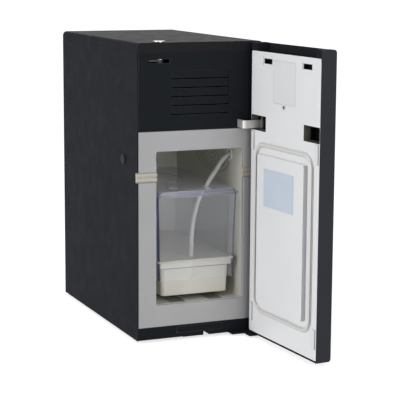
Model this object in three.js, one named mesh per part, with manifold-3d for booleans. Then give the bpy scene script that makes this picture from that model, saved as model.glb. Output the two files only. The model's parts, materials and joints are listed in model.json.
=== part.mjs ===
// Countertop milk cooler: an insulated cabinet with a reversible side-hung door, a lock in the top cover,
// a clear milk vessel on a white base box, and a hose from the vessel to the side of the cabinet.
// Millimetres, +Z up. Inside this file Y is 0 at the cabinet's front face and Z is 0 at the skirt's lower edge.
import * as THREE from "three";
import { mergeVertices } from "three/addons/utils/BufferGeometryUtils.js";
import Module from "manifold-3d";

const wasm = await Module();
wasm.setup();

// Fits, overruns and facets
const GAP = 0.3;
const CUT = 1;
const MERGE_SHARE = 0.0001;
const ROUND_SIDES = 24;
const SMALL_SIDES = 16;
const CORNER_STEPS = 3;
const HEX_SIDES = 6;
const OVAL_SIDES = 36;

// Cabinet
const CABINET_WIDTH = 230;
const CABINET_DEPTH = 400;
const SHEET = 1.5;
const HALF = CABINET_WIDTH / 2;
const INNER_HALF = HALF - SHEET - GAP;
const BACK_INNER = CABINET_DEPTH - SHEET;

// Feet: two rubber rails set back behind the skirt
const FOOT_HEIGHT = 5;
const FOOT_DEPTH = 20;
const FOOT_SETBACK = 76;
const FOOT_SIDE_INSET = 30;
const FOOT_BACK_INSET = 40;

// Levels of the front, from the skirt upwards
const KICK_HEIGHT = 22;
const FRAME_SILL = 37.7;
const MOUTH_HEIGHT = 265;
const FRAME_HEADER = 34.3;
const PANEL_HEIGHT = 133.1;
const COVER_HEIGHT = 15;
const FRAME_BOTTOM = KICK_HEIGHT + GAP;
const MOUTH_BOTTOM = FRAME_BOTTOM + FRAME_SILL;
const MOUTH_TOP = MOUTH_BOTTOM + MOUTH_HEIGHT;
const FRAME_TOP = MOUTH_TOP + FRAME_HEADER;
const PANEL_BOTTOM = FRAME_TOP + GAP;
const PANEL_TOP = PANEL_BOTTOM + PANEL_HEIGHT;
const COVER_BOTTOM = PANEL_TOP + GAP;
const CABINET_HEIGHT = COVER_BOTTOM + COVER_HEIGHT;

// Base tray and divider plate
const TRAY_BOTTOM = 12;
const TRAY_SHEET = 2;
const DIVIDER_SHEET = 1.5;
const TRAY_TOP = TRAY_BOTTOM + TRAY_SHEET;
const DIVIDER_TOP = FRAME_TOP - GAP;
const DIVIDER_BOTTOM = DIVIDER_TOP - DIVIDER_SHEET;

// Kick plate, its cable notch and its access cover
const KICK_SHEET = 2;
const KICK_RISE = 0.8;
const KICK_RISE_END = -31.5;
const NOTCH_LEFT = 7.4;
const NOTCH_WIDTH = 10.2;
const NOTCH_HEIGHT = 6.6;
const NOTCH_DEPTH = 28;
const NOTCH_WALL = 1.6;
const ACCESS_LEFT = -43.2;
const ACCESS_WIDTH = 86;
const ACCESS_HEIGHT = 11;
const ACCESS_CORNER = 2.5;
const ACCESS_PROUD = 0.6;
const ACCESS_TAB_WIDTH = 12;
const ACCESS_TAB_DEPTH = 5;
const ACCESS_TAB_WALL = 1.5;
const ACCESS_BOTTOM = NOTCH_HEIGHT + NOTCH_WALL + GAP;

// Cavity mouth and liner
const MOUTH_SIDE = 34.2;
const MOUTH_CORNER = 3;
const MOUTH_LIP = 0.6;
const FRAME_DEPTH = 6;
const REAR_SPACE = 98;
const LINER_WALL = 1.8;
const LINER_FLANGE = 14;
const GROOVE_NEAR = 21;
const GROOVE_WIDTH = 30;
const GROOVE_DEPTH = 2.5;
const MOUTH_HALF = HALF - MOUTH_SIDE;
const CAVITY_DEPTH = CABINET_DEPTH - REAR_SPACE;
const LINER_FRONT = FRAME_DEPTH + GAP;
const FLANGE_BACK = LINER_FRONT + LINER_WALL;
const CAVITY_HALF = MOUTH_HALF - MOUTH_LIP;
const CAVITY_FLOOR = MOUTH_BOTTOM + MOUTH_LIP;
const CAVITY_TOP = MOUTH_TOP - MOUTH_LIP;
const CAVITY_CORNER = MOUTH_CORNER - MOUTH_LIP;
const LINER_HALF = CAVITY_HALF + LINER_WALL;
const LINER_BOTTOM = CAVITY_FLOOR - LINER_WALL;
const LINER_TOP = CAVITY_TOP + LINER_WALL;
const LINER_BACK = CAVITY_DEPTH + LINER_WALL;

// Relief of oval rings on the cavity's right wall
const RING_Y = 132;
const RING_DROP = 30;
const RING_HEIGHT = 0.8;
const RING_WIDTH = 1.3;
const RING_FIRST = 5;
const RING_PITCH = 5.6;
const RING_COUNT = 5;
const RING_LENGTH_SHARE = 2.65;
const RING_Z = MOUTH_TOP - RING_DROP;

// Foam insulation
const FOAM_BACK_WALL = 60;
const FOAM_BACK = LINER_BACK + FOAM_BACK_WALL;

// Cold side, thermoelectric module and heat sink
const COLD_WIDTH = 110;
const COLD_LENGTH_SHARE = 0.6;
const COLD_THICK = 4;
const COLD_FRONT_SHARE = 0.2;
const BLOCK_SIZE = 44;
const MODULE_SIZE = 40;
const MODULE_THICK = 4;
const SINK_HALF = 50;
const SINK_LENGTH_SHARE = 0.46;
const SINK_BASE = 6;
const SINK_HEIGHT_SHARE = 0.59;
const FIN_COUNT = 11;
const FIN_THICK = 2;
const COLD_BOTTOM = LINER_TOP + GAP;
const COLD_FRONT = COLD_FRONT_SHARE * CAVITY_DEPTH;
const COLD_LENGTH = COLD_LENGTH_SHARE * CAVITY_DEPTH;
const SINK_LENGTH = SINK_LENGTH_SHARE * CAVITY_DEPTH;
const SINK_HEIGHT = SINK_HEIGHT_SHARE * PANEL_HEIGHT;
const COLD_MIDDLE = COLD_FRONT + COLD_LENGTH / 2;
const MODULE_BOTTOM = DIVIDER_TOP - MODULE_THICK / 2;
const MODULE_TOP = MODULE_BOTTOM + MODULE_THICK;
const SINK_BOTTOM = MODULE_TOP + GAP;
const SINK_FRONT = COLD_MIDDLE - SINK_LENGTH / 2;

// Fan behind the louvres
const FAN_SIZE = 80;
const FAN_DEPTH = 25;
const FAN_BORE = 37.6;
const FAN_HUB = 15;
const FAN_PLATE = 3;
const FAN_STRUT = 3;
const FAN_SHAFT = 2;
const BLADE_COUNT = 7;
const BLADE_THICK = 1.6;
const BLADE_WIDTH = 18;
const BLADE_TIP_GAP = 1;
const BLADE_PITCH = 40;
const BLADE_ROOT = 2;
const ROTOR_GAP = 1;

// Upper front panel with its louvres
const PANEL_DEPTH = 3;
const LOUVRE_COUNT = 5;
const LOUVRE_LEFT = -54.3;
const LOUVRE_WIDTH = 107;
const LOUVRE_RISE = 28.2;
const LOUVRE_PITCH = 14.95;
const LOUVRE_SLOT = 3.2;
const LOUVRE_HOOD = 11.3;
const LOUVRE_PROUD = 1.8;
const LOUVRE_GROOVE = 1;
const LOUVRE_FIRST = PANEL_BOTTOM + LOUVRE_RISE;
const LOUVRE_TOP = LOUVRE_FIRST + LOUVRE_PITCH * LOUVRE_COUNT;
const FAN_Z = (LOUVRE_FIRST + LOUVRE_TOP) / 2;

// Lock in the top cover
const LOCK_SIDE_SHARE = 0.609;
const LOCK_Y = 16;
const LOCK_SLOT_REACH = 28.5;
const LOCK_SLOT_WIDTH = 41.3;
const LOCK_SLOT_DROP = 19;
const LOCK_SLOT_HEIGHT = 6;
const BARREL_RADIUS = 8;
const BEZEL_RADIUS = 10.5;
const BEZEL_HEIGHT = 1.6;
const PLUG_RADIUS = 5;
const PLUG_STUB = 2.9;
const PLUG_PROUD = 0.8;
const KEYWAY_WIDTH = 1.6;
const KEYWAY_LENGTH = 6;
const KEYWAY_DEPTH = 4;
const CAM_THICK = 2.6;
const CAM_REACH = 25;
const CAM_WIDTH = 14;
const CAM_NUT_RADIUS = 5;
const CAM_NUT_HEIGHT = 2.6;
const LOCK_X = -LOCK_SIDE_SHARE * HALF;
const LOCK_SLOT_LEFT = LOCK_X - LOCK_SLOT_REACH;
const LOCK_SLOT_BOTTOM = COVER_BOTTOM - LOCK_SLOT_DROP;
const CAM_BOTTOM = LOCK_SLOT_BOTTOM + (LOCK_SLOT_HEIGHT - CAM_THICK) / 2;
const CAM_TOP = CAM_BOTTOM + CAM_THICK;

// Top cover
const COVER_WALL = 2;
const COVER_SHOULDER = 8;
const SHOULDER_STEPS = 5;

// Silicone tube inserts in both strips of the frame
const INSERT_DROP = 51.4;
const INSERT_RIB = 4.2;
const INSERT_DEPTH = 4.6;
const INSERT_OUT = 1.6;
const INSERT_IN = 1.4;
const INSERT_SKIN = 0.1;
const INSERT_BOTTOM = MOUTH_TOP - INSERT_DROP;

// Ports in the side walls
const PORT_DROP = 18.5;
const LEFT_PORT_Y = 67;
const RIGHT_PORT_Y = 57.5;
const PLUG_SHANK = 7;
const PLUG_HEAD = 9;
const PLUG_DOME = 3.6;
const PLUG_RIM = 1.2;
const NUT_RADIUS = 12;
const NUT_REACH = 22.5;
const NUT_END = 4;
const FITTING_FLANGE = 11.5;
const FITTING_BODY = 9.7;
const FITTING_SOCKET = 7.5;
const FITTING_SOCKET_DEPTH = 14;
const FITTING_RIM = 1.5;
const FITTING_BORE = 2;
const FITTING_STUB = 5;
const FITTING_OUT = 14;
const FITTING_NUT_RADIUS = 13;
const FITTING_NUT_HEIGHT = 6;
const PORT_Z = MOUTH_TOP - PORT_DROP;

// Milk hose
const HOSE_DIAMETER = 8;
const HOSE_SIDES = 10;
const HOSE_STEPS = 36;

// Clear vessel, its lid and the white base box
const VESSEL_FRONT = 15;
const VESSEL_BACK_GAP = 14;
const VESSEL_SIDE_GAP = 10.5;
const VESSEL_SKIRT = 32.1;
const VESSEL_DROP = 79.8;
const VESSEL_DRAFT = 4.5;
const VESSEL_WALL = 2.2;
const VESSEL_CORNER = 7;
const VESSEL_FLOOR_THICK = 2;
const LID_BRIM = 3;
const LID_BRIM_HEIGHT = 2.6;
const LID_RISE = 5.4;
const LID_TAPER = 4;
const LID_PLATE = 2;
const LID_SPIGOT = 2.5;
const LID_HOLE_SIDE = 46.8;
const LID_HOLE_Y = 50;
const LID_HOLE_RADIUS = 8;
const LID_BOSS_WALL = 2;
const LID_BOSS_HEIGHT = 1.6;
const LID_OVAL_Y = 164;
const LID_OVAL_HALF_WIDTH = 33;
const LID_OVAL_HALF_LENGTH = 51;
const LID_OVAL_BAND = 2.4;
const LID_OVAL_HEIGHT = 0.9;
const BOX_RIM_HEIGHT = 10.6;
const BOX_RIM_OVER = 4.5;
const BOX_BACK_GAP = 30;
const BOX_BODY_HEIGHT = 49;
const BOX_BODY_DRAFT = 1.4;
const BOX_WALL = 2.5;
const BOX_CORNER = 7;
const BOX_FOOT_RADIUS = 4.5;
const BOX_FOOT_SIDE = 7.3;
const BOX_FOOT_INSET = 62;
const BOX_LIFT = 8.8;
const BOX_BOTTOM = CAVITY_FLOOR + BOX_LIFT;
const BOX_RIM_BOTTOM = BOX_BOTTOM + BOX_BODY_HEIGHT;
const BOX_TOP = BOX_RIM_BOTTOM + BOX_RIM_HEIGHT;
const VESSEL_FLOOR = BOX_TOP + GAP;
const VESSEL_BOTTOM = VESSEL_FLOOR - VESSEL_SKIRT;
const VESSEL_TOP = MOUTH_TOP - VESSEL_DROP;
const VESSEL_HEIGHT = VESSEL_TOP - VESSEL_BOTTOM;
const VESSEL_HALF = MOUTH_HALF - VESSEL_SIDE_GAP;
const VESSEL_BACK = CAVITY_DEPTH - VESSEL_BACK_GAP;
const BOX_LENGTH = VESSEL_BACK - VESSEL_FRONT - BOX_BACK_GAP;
const BOX_RIM_HALF = VESSEL_HALF - VESSEL_WALL - GAP;
const BOX_FRONT = VESSEL_FRONT + VESSEL_WALL + GAP;

// Door: closed, its inner face stands off the cabinet's front by the seal gap
const DOOR_OPEN = 93.2;
const DOOR_SIDE_GAP = 0.3;
const DOOR_BOTTOM = 2.4;
const DOOR_TOP_GAP = 2.3;
const DOOR_THICK = 27.4;
const SEAL_GAP = 4.5;
const AXIS_FROM_SIDE = 9.7;
const AXIS_FROM_FRONT = 21.5;
const SHELL_WALL = 1.2;
const SHELL_EDGE = 5;
const TROUGH_DROP = 7;
const TROUGH_SHEET = 2;
const TROUGH_WALL = 3;
const PLATE_THICK = 2;
const PLATE_DROP = 0.1;
const PLATE_CORNER = 6;
const DOOR_HALF = HALF - DOOR_SIDE_GAP;
const TROUGH_FLOOR = COVER_BOTTOM - TROUGH_DROP;
const PLATE_TOP = COVER_BOTTOM - PLATE_DROP;
const DOOR_TOP = CABINET_HEIGHT - DOOR_TOP_GAP;
const DOOR_IN = -SEAL_GAP;
const DOOR_OUT = DOOR_IN - DOOR_THICK;
const AXIS_X = HALF - AXIS_FROM_SIDE;
const AXIS_Y = -AXIS_FROM_FRONT;
const PLATE_BACK = DOOR_IN - PLATE_THICK;
const PLATE_HALF = DOOR_HALF - SHELL_WALL - GAP;
const PLATE_BOTTOM = DOOR_BOTTOM + SHELL_WALL + GAP;
const SHELL_FRONT_INNER = DOOR_OUT + SHELL_WALL;

// Insulating block on the door's inner face, with its blank label plate
const BLOCK_CLEAR = 3.5;
const BLOCK_PROUD = 8;
const BLOCK_CORNER = 5;
const BLOCK_BEVEL = 1.6;
const BLOCK_HALF = MOUTH_HALF - BLOCK_CLEAR;
const BLOCK_BOTTOM = MOUTH_BOTTOM + BLOCK_CLEAR;
const BLOCK_TOP = MOUTH_TOP - BLOCK_CLEAR;
const BLOCK_FACE = DOOR_IN + BLOCK_PROUD;
const LABEL_WIDTH = 98.6;
const LABEL_HEIGHT = 64;
const LABEL_THICK = 0.5;
const LABEL_X = 2.8;
const LABEL_DROP = 57.8;
const LABEL_Z = MOUTH_TOP - LABEL_DROP;

// Door gasket
const GASKET_OUTSIDE = 16.2;
const GASKET_BAND = 9;
const GASKET_CORNER = 28;
const GASKET_STEPS = 4;
const GASKET_BEVEL = 1.8;

// Pockets, magnets and hatch of the door
const STRIKE_OFFSET = 2.5;
const STRIKE_SPARE_SHARE = 0.489;
const STRIKE_WIDTH = 26;
const STRIKE_RISE = 0.9;
const STRIKE_HEIGHT = 6.9;
const STRIKE_DEPTH = 10;
const CUP_WALL = 1.2;
const HINGE_CUP_EDGE = 3.8;
const HINGE_CUP_WIDTH = 47.1;
const HINGE_CUP_RISE = 0.9;
const HINGE_CUP_HEIGHT = 23;
const HINGE_CUP_DEPTH = 24;
const MAGNET_EDGE = 4.6;
const MAGNET_WIDTH = 9;
const MAGNET_HEIGHT = 33;
const MAGNET_THICK = 1.5;
const MAGNET_RISE = 2.2;
const MAGNET_DROP = 0.5;
const HATCH_WIDTH_SHARE = 0.3113;
const HATCH_RISE_SHARE = 0.384;
const HATCH_HEIGHT_SHARE = 0.5304;
const HATCH_CORNER = 3;
const HATCH_THICK = 1;
const HATCH_X = 2;
const HATCH_LEDGE = 3;
const HATCH_TAB_WIDTH = 9;
const HATCH_TAB_DROP = 9;
const HATCH_SCREW_RADIUS = 2.4;
const HATCH_SCREW_HEAD = 1.1;
const HATCH_SCREW_SHANK = 1.2;
const HATCH_SCREW_LENGTH = 7;
const BOARD_THICK = 1.6;
const BOARD_DEPTH = 9;
const BOARD_MARGIN = 6;
const BOARD_POST = 2.5;
const LENS_WIDTH = 44;
const LENS_HEIGHT = 18;
const LENS_CORNER = 3;
const DOOR_FOAM_GAP = 3;
const STRIKE_LOCK_SIDE_X = LOCK_X - STRIKE_OFFSET;
const STRIKE_HINGE_SIDE_X = STRIKE_SPARE_SHARE * HALF;
const STRIKE_BOTTOM = LOCK_SLOT_BOTTOM + STRIKE_RISE;
const HINGE_CUP_BOTTOM = FRAME_TOP + HINGE_CUP_RISE;
const MAGNET_LOW = FRAME_BOTTOM + MAGNET_RISE;
const MAGNET_HIGH = MOUTH_TOP - MAGNET_DROP;
const HATCH_WIDTH = HATCH_WIDTH_SHARE * CABINET_WIDTH;
const HATCH_BOTTOM = FRAME_TOP + HATCH_RISE_SHARE * PANEL_HEIGHT;
const HATCH_HEIGHT = HATCH_HEIGHT_SHARE * PANEL_HEIGHT;

// Upper hinge strap and pin
const STRAP_REACH = 36.9;
const STRAP_THICK = 3;
const STRAP_EDGE_GAP = 1;
const STRAP_HEIGHT = 13.4;
const STRAP_BEND = 5;
const STRAP_FLANGE = 30;
const STRAP_EYE = 4.9;
const UPPER_PIN_RADIUS = 2.5;
const STRAP_X = AXIS_X - STRAP_REACH;
const STRAP_BOTTOM = HINGE_CUP_BOTTOM + STRAP_EDGE_GAP;
const STRAP_TOP = STRAP_BOTTOM + STRAP_HEIGHT;

// Lower hinge bracket, pin and bush
const BRACKET_WIDTH = 57.2;
const BRACKET_STEP_WIDTH = 34.2;
const BRACKET_REACH = 13.5;
const BRACKET_STEP_REACH = 36;
const BRACKET_BACK = 25;
const BRACKET_THICK = 3;
const BRACKET_TOP = 1.9;
const LOWER_PIN_RADIUS = 3;
const LOWER_PIN_HEIGHT = 11;
const BUSH_WALL = 2.4;
const BUSH_HEIGHT = 9;
const BRACKET_SCREW_Y = 14;
const BRACKET_SCREW_INSET = 14;
const BRACKET_LEFT = INNER_HALF - BRACKET_WIDTH;
const BRACKET_STEP_X = INNER_HALF - BRACKET_STEP_WIDTH;
const SCREW_HEAD_RADIUS = 3.4;
const SCREW_HEAD_HEIGHT = 1.8;
const SCREW_SHANK = 1.9;

// Back panel, power inlet and supply
const VENT_COUNT = 7;
const VENT_WIDTH_SHARE = 0.52;
const VENT_SLOT = 4;
const VENT_PITCH = 11;
const VENT_RISE = 37;
const INLET_SIDE = 37;
const INLET_RISE = 10;
const INLET_WIDTH = 28;
const INLET_HEIGHT = 21;
const INLET_DEPTH = 18;
const INLET_FLANGE = 3;
const INLET_FLANGE_THICK = 1.5;
const INLET_SOCKET_WALL = 3;
const INLET_SOCKET_DEPTH = 12;
const SUPPLY_WIDTH = 90;
const SUPPLY_LENGTH_SHARE = 0.275;
const SUPPLY_HEIGHT = 38;
const SUPPLY_INSET = 30;
const SUPPLY_SIDE_SHARE = 0.435;
const VENT_WIDTH = VENT_WIDTH_SHARE * CABINET_WIDTH;
const VENT_FIRST = DIVIDER_TOP + VENT_RISE;
const INLET_X = HALF - INLET_SIDE;
const INLET_Z = DIVIDER_TOP + INLET_RISE;
const SUPPLY_LENGTH = SUPPLY_LENGTH_SHARE * CABINET_DEPTH;
const SUPPLY_X = -SUPPLY_SIDE_SHARE * HALF;

// A closed three.js geometry as a solid, turned to face out
function solid(geometry) {
  const bare = geometry.index ? geometry.toNonIndexed() : geometry.clone();
  bare.deleteAttribute("normal");
  bare.deleteAttribute("uv");
  const merged = mergeVertices(bare, MERGE_SHARE);
  const corners = merged.attributes.position.array;
  const faces = new Uint32Array(merged.index.array);
  const a = new THREE.Vector3();
  const b = new THREE.Vector3();
  const c = new THREE.Vector3();
  let volume = 0;
  for (let i = 0; i < faces.length; i += 3) {
    a.fromArray(corners, faces[i] * 3);
    b.fromArray(corners, faces[i + 1] * 3);
    c.fromArray(corners, faces[i + 2] * 3);
    volume += a.dot(b.cross(c));
  }
  if (volume < 0) {
    for (let i = 0; i < faces.length; i += 3) {
      [faces[i + 1], faces[i + 2]] = [faces[i + 2], faces[i + 1]];
    }
  }
  return new wasm.Manifold(new wasm.Mesh({ numProp: 3, vertProperties: corners, triVerts: faces }));
}

// A solid back as a three.js geometry
function geometryOf(body) {
  const mesh = body.getMesh();
  const geometry = new THREE.BufferGeometry();
  geometry.setAttribute("position", new THREE.BufferAttribute(new Float32Array(mesh.vertProperties), 3));
  geometry.setIndex(new THREE.BufferAttribute(new Uint32Array(mesh.triVerts), 1));
  geometry.computeVertexNormals();
  return geometry;
}

function join(first, ...others) {
  return others.reduce((sum, other) => sum.add(other), first);
}

function carve(first, ...others) {
  return others.reduce((rest, other) => rest.subtract(other), first);
}

function box(x0, x1, y0, y1, z0, z1) {
  const geometry = new THREE.BoxGeometry(x1 - x0, y1 - y0, z1 - z0);
  return solid(geometry.translate((x0 + x1) / 2, (y0 + y1) / 2, (z0 + z1) / 2));
}

function rectangle(x0, x1, y0, y1, radius) {
  const shape = new THREE.Shape();
  shape.moveTo(x0 + radius, y0);
  shape.lineTo(x1 - radius, y0);
  shape.absarc(x1 - radius, y0 + radius, radius, -Math.PI / 2, 0, false);
  shape.lineTo(x1, y1 - radius);
  shape.absarc(x1 - radius, y1 - radius, radius, 0, Math.PI / 2, false);
  shape.lineTo(x0 + radius, y1);
  shape.absarc(x0 + radius, y1 - radius, radius, Math.PI / 2, Math.PI, false);
  shape.lineTo(x0, y0 + radius);
  shape.absarc(x0 + radius, y0 + radius, radius, Math.PI, Math.PI * 1.5, false);
  return shape;
}

function outline(points) {
  return new THREE.Shape(points.map(([x, y]) => new THREE.Vector2(x, y)));
}

function disc(x, y, radius) {
  return new THREE.Shape().absarc(x, y, radius, 0, Math.PI * 2, false);
}

// Outlines pushed along Z, along Y (drawn in X and Z) and along X (drawn in Y and Z)
const ALONG_Z = new THREE.Matrix4();
const ALONG_Y = new THREE.Matrix4().makeBasis(
  new THREE.Vector3(1, 0, 0),
  new THREE.Vector3(0, 0, 1),
  new THREE.Vector3(0, -1, 0),
);
const ALONG_X = new THREE.Matrix4().makeBasis(
  new THREE.Vector3(0, 1, 0),
  new THREE.Vector3(0, 0, 1),
  new THREE.Vector3(1, 0, 0),
);

function pushZ(shape, z0, z1, steps = CORNER_STEPS) {
  const options = { depth: z1 - z0, bevelEnabled: false, curveSegments: steps };
  return solid(new THREE.ExtrudeGeometry(shape, options).applyMatrix4(ALONG_Z).translate(0, 0, z0));
}

function pushY(shape, y0, y1, steps = CORNER_STEPS) {
  const options = { depth: y1 - y0, bevelEnabled: false, curveSegments: steps };
  return solid(new THREE.ExtrudeGeometry(shape, options).applyMatrix4(ALONG_Y).translate(0, y1, 0));
}

function pushX(shape, x0, x1, steps = CORNER_STEPS) {
  const options = { depth: x1 - x0, bevelEnabled: false, curveSegments: steps };
  return solid(new THREE.ExtrudeGeometry(shape, options).applyMatrix4(ALONG_X).translate(x0, 0, 0));
}

// An outline pushed along Y with its far edge, at y1, rounded off by a bevel
function bevelY(shape, y0, y1, bevel, steps) {
  const options = {
    depth: y1 - y0,
    bevelEnabled: true,
    bevelThickness: bevel,
    bevelSize: bevel,
    bevelOffset: -bevel,
    bevelSegments: 2,
    curveSegments: steps,
  };
  const body = solid(new THREE.ExtrudeGeometry(shape, options).applyMatrix4(ALONG_Y).translate(0, y1 - bevel, 0));
  const reach = CABINET_WIDTH + CABINET_HEIGHT;
  return carve(body, box(-reach, reach, y0 - reach, y0, -reach, reach));
}

function rodX(y, z, radius, x0, x1, sides = SMALL_SIDES) {
  return pushX(disc(y, z, radius), x0, x1, sides / 2);
}

function rodY(x, z, radius, y0, y1, sides = SMALL_SIDES) {
  return pushY(disc(x, z, radius), y0, y1, sides / 2);
}

function rodZ(x, y, radius, z0, z1, sides = SMALL_SIDES) {
  return pushZ(disc(x, y, radius), z0, z1, sides / 2);
}

// A profile of [along, radius] points turned about an axis parallel to X
function turnX(profile, y, z, sides = ROUND_SIDES) {
  const points = profile.map(([along, radius]) => new THREE.Vector2(radius, along));
  return solid(new THREE.LatheGeometry(points, sides).rotateZ(-Math.PI / 2).translate(0, y, z));
}

// A body lofted through rounded rectangles, lowest first: [z, x half, y0, y1, corner]
function loft(sections, steps = CORNER_STEPS) {
  const rings = sections.map(([z, half, y0, y1, corner]) =>
    rectangle(-half, half, y0, y1, corner)
      .getPoints(steps)
      .map((p) => [p.x, p.y, z]),
  );
  const count = rings[0].length - 1;
  const corners = [];
  const faces = [];
  rings.forEach((ring) => ring.slice(0, count).forEach((p) => corners.push(...p)));
  for (let level = 0; level + 1 < rings.length; level++) {
    for (let i = 0; i < count; i++) {
      const here = level * count + i;
      const next = level * count + ((i + 1) % count);
      faces.push(here, next, next + count, here, next + count, here + count);
    }
  }
  const top = (rings.length - 1) * count;
  for (let i = 1; i + 1 < count; i++) {
    faces.push(0, i + 1, i);
    faces.push(top, top + i, top + i + 1);
  }
  const geometry = new THREE.BufferGeometry();
  geometry.setAttribute("position", new THREE.Float32BufferAttribute(corners, 3));
  geometry.setIndex(faces);
  return solid(geometry);
}

// Finishes
function finish(color, roughness, metalness = 0) {
  return new THREE.MeshStandardMaterial({ color, roughness, metalness });
}
const CASE_BLACK = finish(0x2a2b2f, 0.55);
const PANEL_BLACK = finish(0x202326, 0.6);
const FRAME_GREY = finish(0xa0a1a3, 0.6);
const LINER_GREY = finish(0xb9b8b2, 0.5);
const DOOR_WHITE = finish(0xdadcdf, 0.45);
const GASKET_GREY = finish(0xb4b1ac, 0.7);
const BOX_WHITE = finish(0xb9b7af, 0.5);
const CLEAR = new THREE.MeshStandardMaterial({ color: 0xdfe3ee, roughness: 0.1, transparent: true, opacity: 0.3 });
const SILICONE = finish(0xd9d0c4, 0.5);
const HOSE_CLEAR = finish(0xc9c9c9, 0.35);
const RUBBER = finish(0x1a1a1c, 0.85);
const STEEL = finish(0xb5b2ab, 0.35, 1);
const CHROME = finish(0xd8d8da, 0.15, 1);
const ALUMINIUM = finish(0xa9abad, 0.45, 1);
const PLASTIC_BLACK = finish(0x17181a, 0.5);
const FOAM = finish(0xd8cfa8, 0.9);
const BOARD_GREEN = finish(0x1f5a3a, 0.5);
const LABEL_BLUE = finish(0xc3d0de, 0.6);
const CERAMIC = finish(0xe8e6e0, 0.6);

const milkCooler = new THREE.Group();
milkCooler.position.set(0, -FOOT_SETBACK, FOOT_HEIGHT);
const door = new THREE.Group();
door.position.set(AXIS_X, AXIS_Y, 0);
door.rotation.z = THREE.MathUtils.degToRad(DOOR_OPEN);
milkCooler.add(door);

function add(name, body, material) {
  const mesh = new THREE.Mesh(geometryOf(body), material);
  mesh.name = name;
  milkCooler.add(mesh);
}

// The door's pieces are drawn closed and hang in the group that is turned open
function addToDoor(name, body, material) {
  const mesh = new THREE.Mesh(geometryOf(body).translate(-AXIS_X, -AXIS_Y, 0), material);
  mesh.name = name;
  door.add(mesh);
}

// Base tray, kick plate and feet
add(
  "base_tray",
  box(-INNER_HALF, INNER_HALF, KICK_SHEET + GAP, BACK_INNER - GAP, TRAY_BOTTOM, TRAY_TOP),
  STEEL,
);

const notchRight = NOTCH_LEFT + NOTCH_WIDTH;
const accessRight = ACCESS_LEFT + ACCESS_WIDTH;
const accessTop = ACCESS_BOTTOM + ACCESS_HEIGHT;
const channel = box(
  NOTCH_LEFT - NOTCH_WALL,
  notchRight + NOTCH_WALL,
  0,
  NOTCH_DEPTH,
  0,
  NOTCH_HEIGHT + NOTCH_WALL,
);
add(
  "kick_plate",
  carve(
    join(box(-INNER_HALF, INNER_HALF, 0, KICK_SHEET, 0, KICK_HEIGHT), channel),
    box(-HALF, KICK_RISE_END, -CUT, KICK_SHEET + CUT, -CUT, KICK_RISE),
    box(NOTCH_LEFT, notchRight, -CUT, NOTCH_DEPTH + CUT, -CUT, NOTCH_HEIGHT),
    box(BRACKET_LEFT - GAP, HALF, -CUT, KICK_SHEET + CUT, -CUT, BRACKET_TOP + GAP),
    pushY(
      rectangle(ACCESS_LEFT - GAP, accessRight + GAP, ACCESS_BOTTOM - GAP, accessTop + GAP, ACCESS_CORNER + GAP),
      -CUT,
      KICK_SHEET + CUT,
    ),
  ),
  CASE_BLACK,
);

const tabs = [ACCESS_LEFT + ACCESS_TAB_WIDTH, accessRight - 2 * ACCESS_TAB_WIDTH].map((x) =>
  box(x, x + ACCESS_TAB_WIDTH, 0, ACCESS_TAB_DEPTH, accessTop - ACCESS_TAB_WALL, accessTop),
);
add(
  "kick_cover",
  join(
    pushY(rectangle(ACCESS_LEFT, accessRight, ACCESS_BOTTOM, accessTop, ACCESS_CORNER), -ACCESS_PROUD, KICK_SHEET),
    ...tabs,
  ),
  CASE_BLACK,
);

const rearFootY = CABINET_DEPTH - FOOT_BACK_INSET;
for (const [name, y] of [
  ["front_foot_rail", FOOT_SETBACK],
  ["rear_foot_rail", rearFootY],
]) {
  const side = HALF - FOOT_SIDE_INSET;
  add(name, box(-side, side, y - FOOT_DEPTH / 2, y + FOOT_DEPTH / 2, -FOOT_HEIGHT, TRAY_BOTTOM - GAP), RUBBER);
}

// Side panels with their port holes and the notches for the tube inserts
const insertTop = INSERT_BOTTOM + 4 * INSERT_RIB;
function sidePanel(side, portY, portRadius) {
  const x0 = side < 0 ? -HALF : HALF - SHEET;
  const x1 = x0 + SHEET;
  return carve(
    box(x0, x1, 0, CABINET_DEPTH, 0, PANEL_TOP),
    rodX(portY, PORT_Z, portRadius + GAP, x0 - CUT, x1 + CUT, ROUND_SIDES),
    box(x0 - CUT, x1 + CUT, -CUT, INSERT_DEPTH + GAP, INSERT_BOTTOM - GAP, insertTop + GAP),
  );
}
add("left_side_panel", sidePanel(-1, LEFT_PORT_Y, PLUG_SHANK), CASE_BLACK);
add("right_side_panel", sidePanel(1, RIGHT_PORT_Y, FITTING_BODY), CASE_BLACK);

// Back panel with vents and the opening for the power inlet
const vents = Array.from({ length: VENT_COUNT }, (_, i) => {
  const z = VENT_FIRST + i * VENT_PITCH;
  return box(-VENT_WIDTH / 2, VENT_WIDTH / 2, BACK_INNER - CUT, CABINET_DEPTH + CUT, z, z + VENT_SLOT);
});
const inletLeft = INLET_X - INLET_WIDTH / 2;
const inletRight = INLET_X + INLET_WIDTH / 2;
const inletTop = INLET_Z + INLET_HEIGHT;
add(
  "back_panel",
  carve(
    box(-INNER_HALF, INNER_HALF, BACK_INNER, CABINET_DEPTH, 0, PANEL_TOP),
    box(inletLeft - GAP, inletRight + GAP, BACK_INNER - CUT, CABINET_DEPTH + CUT, INLET_Z - GAP, inletTop + GAP),
    ...vents,
  ),
  CASE_BLACK,
);

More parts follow.
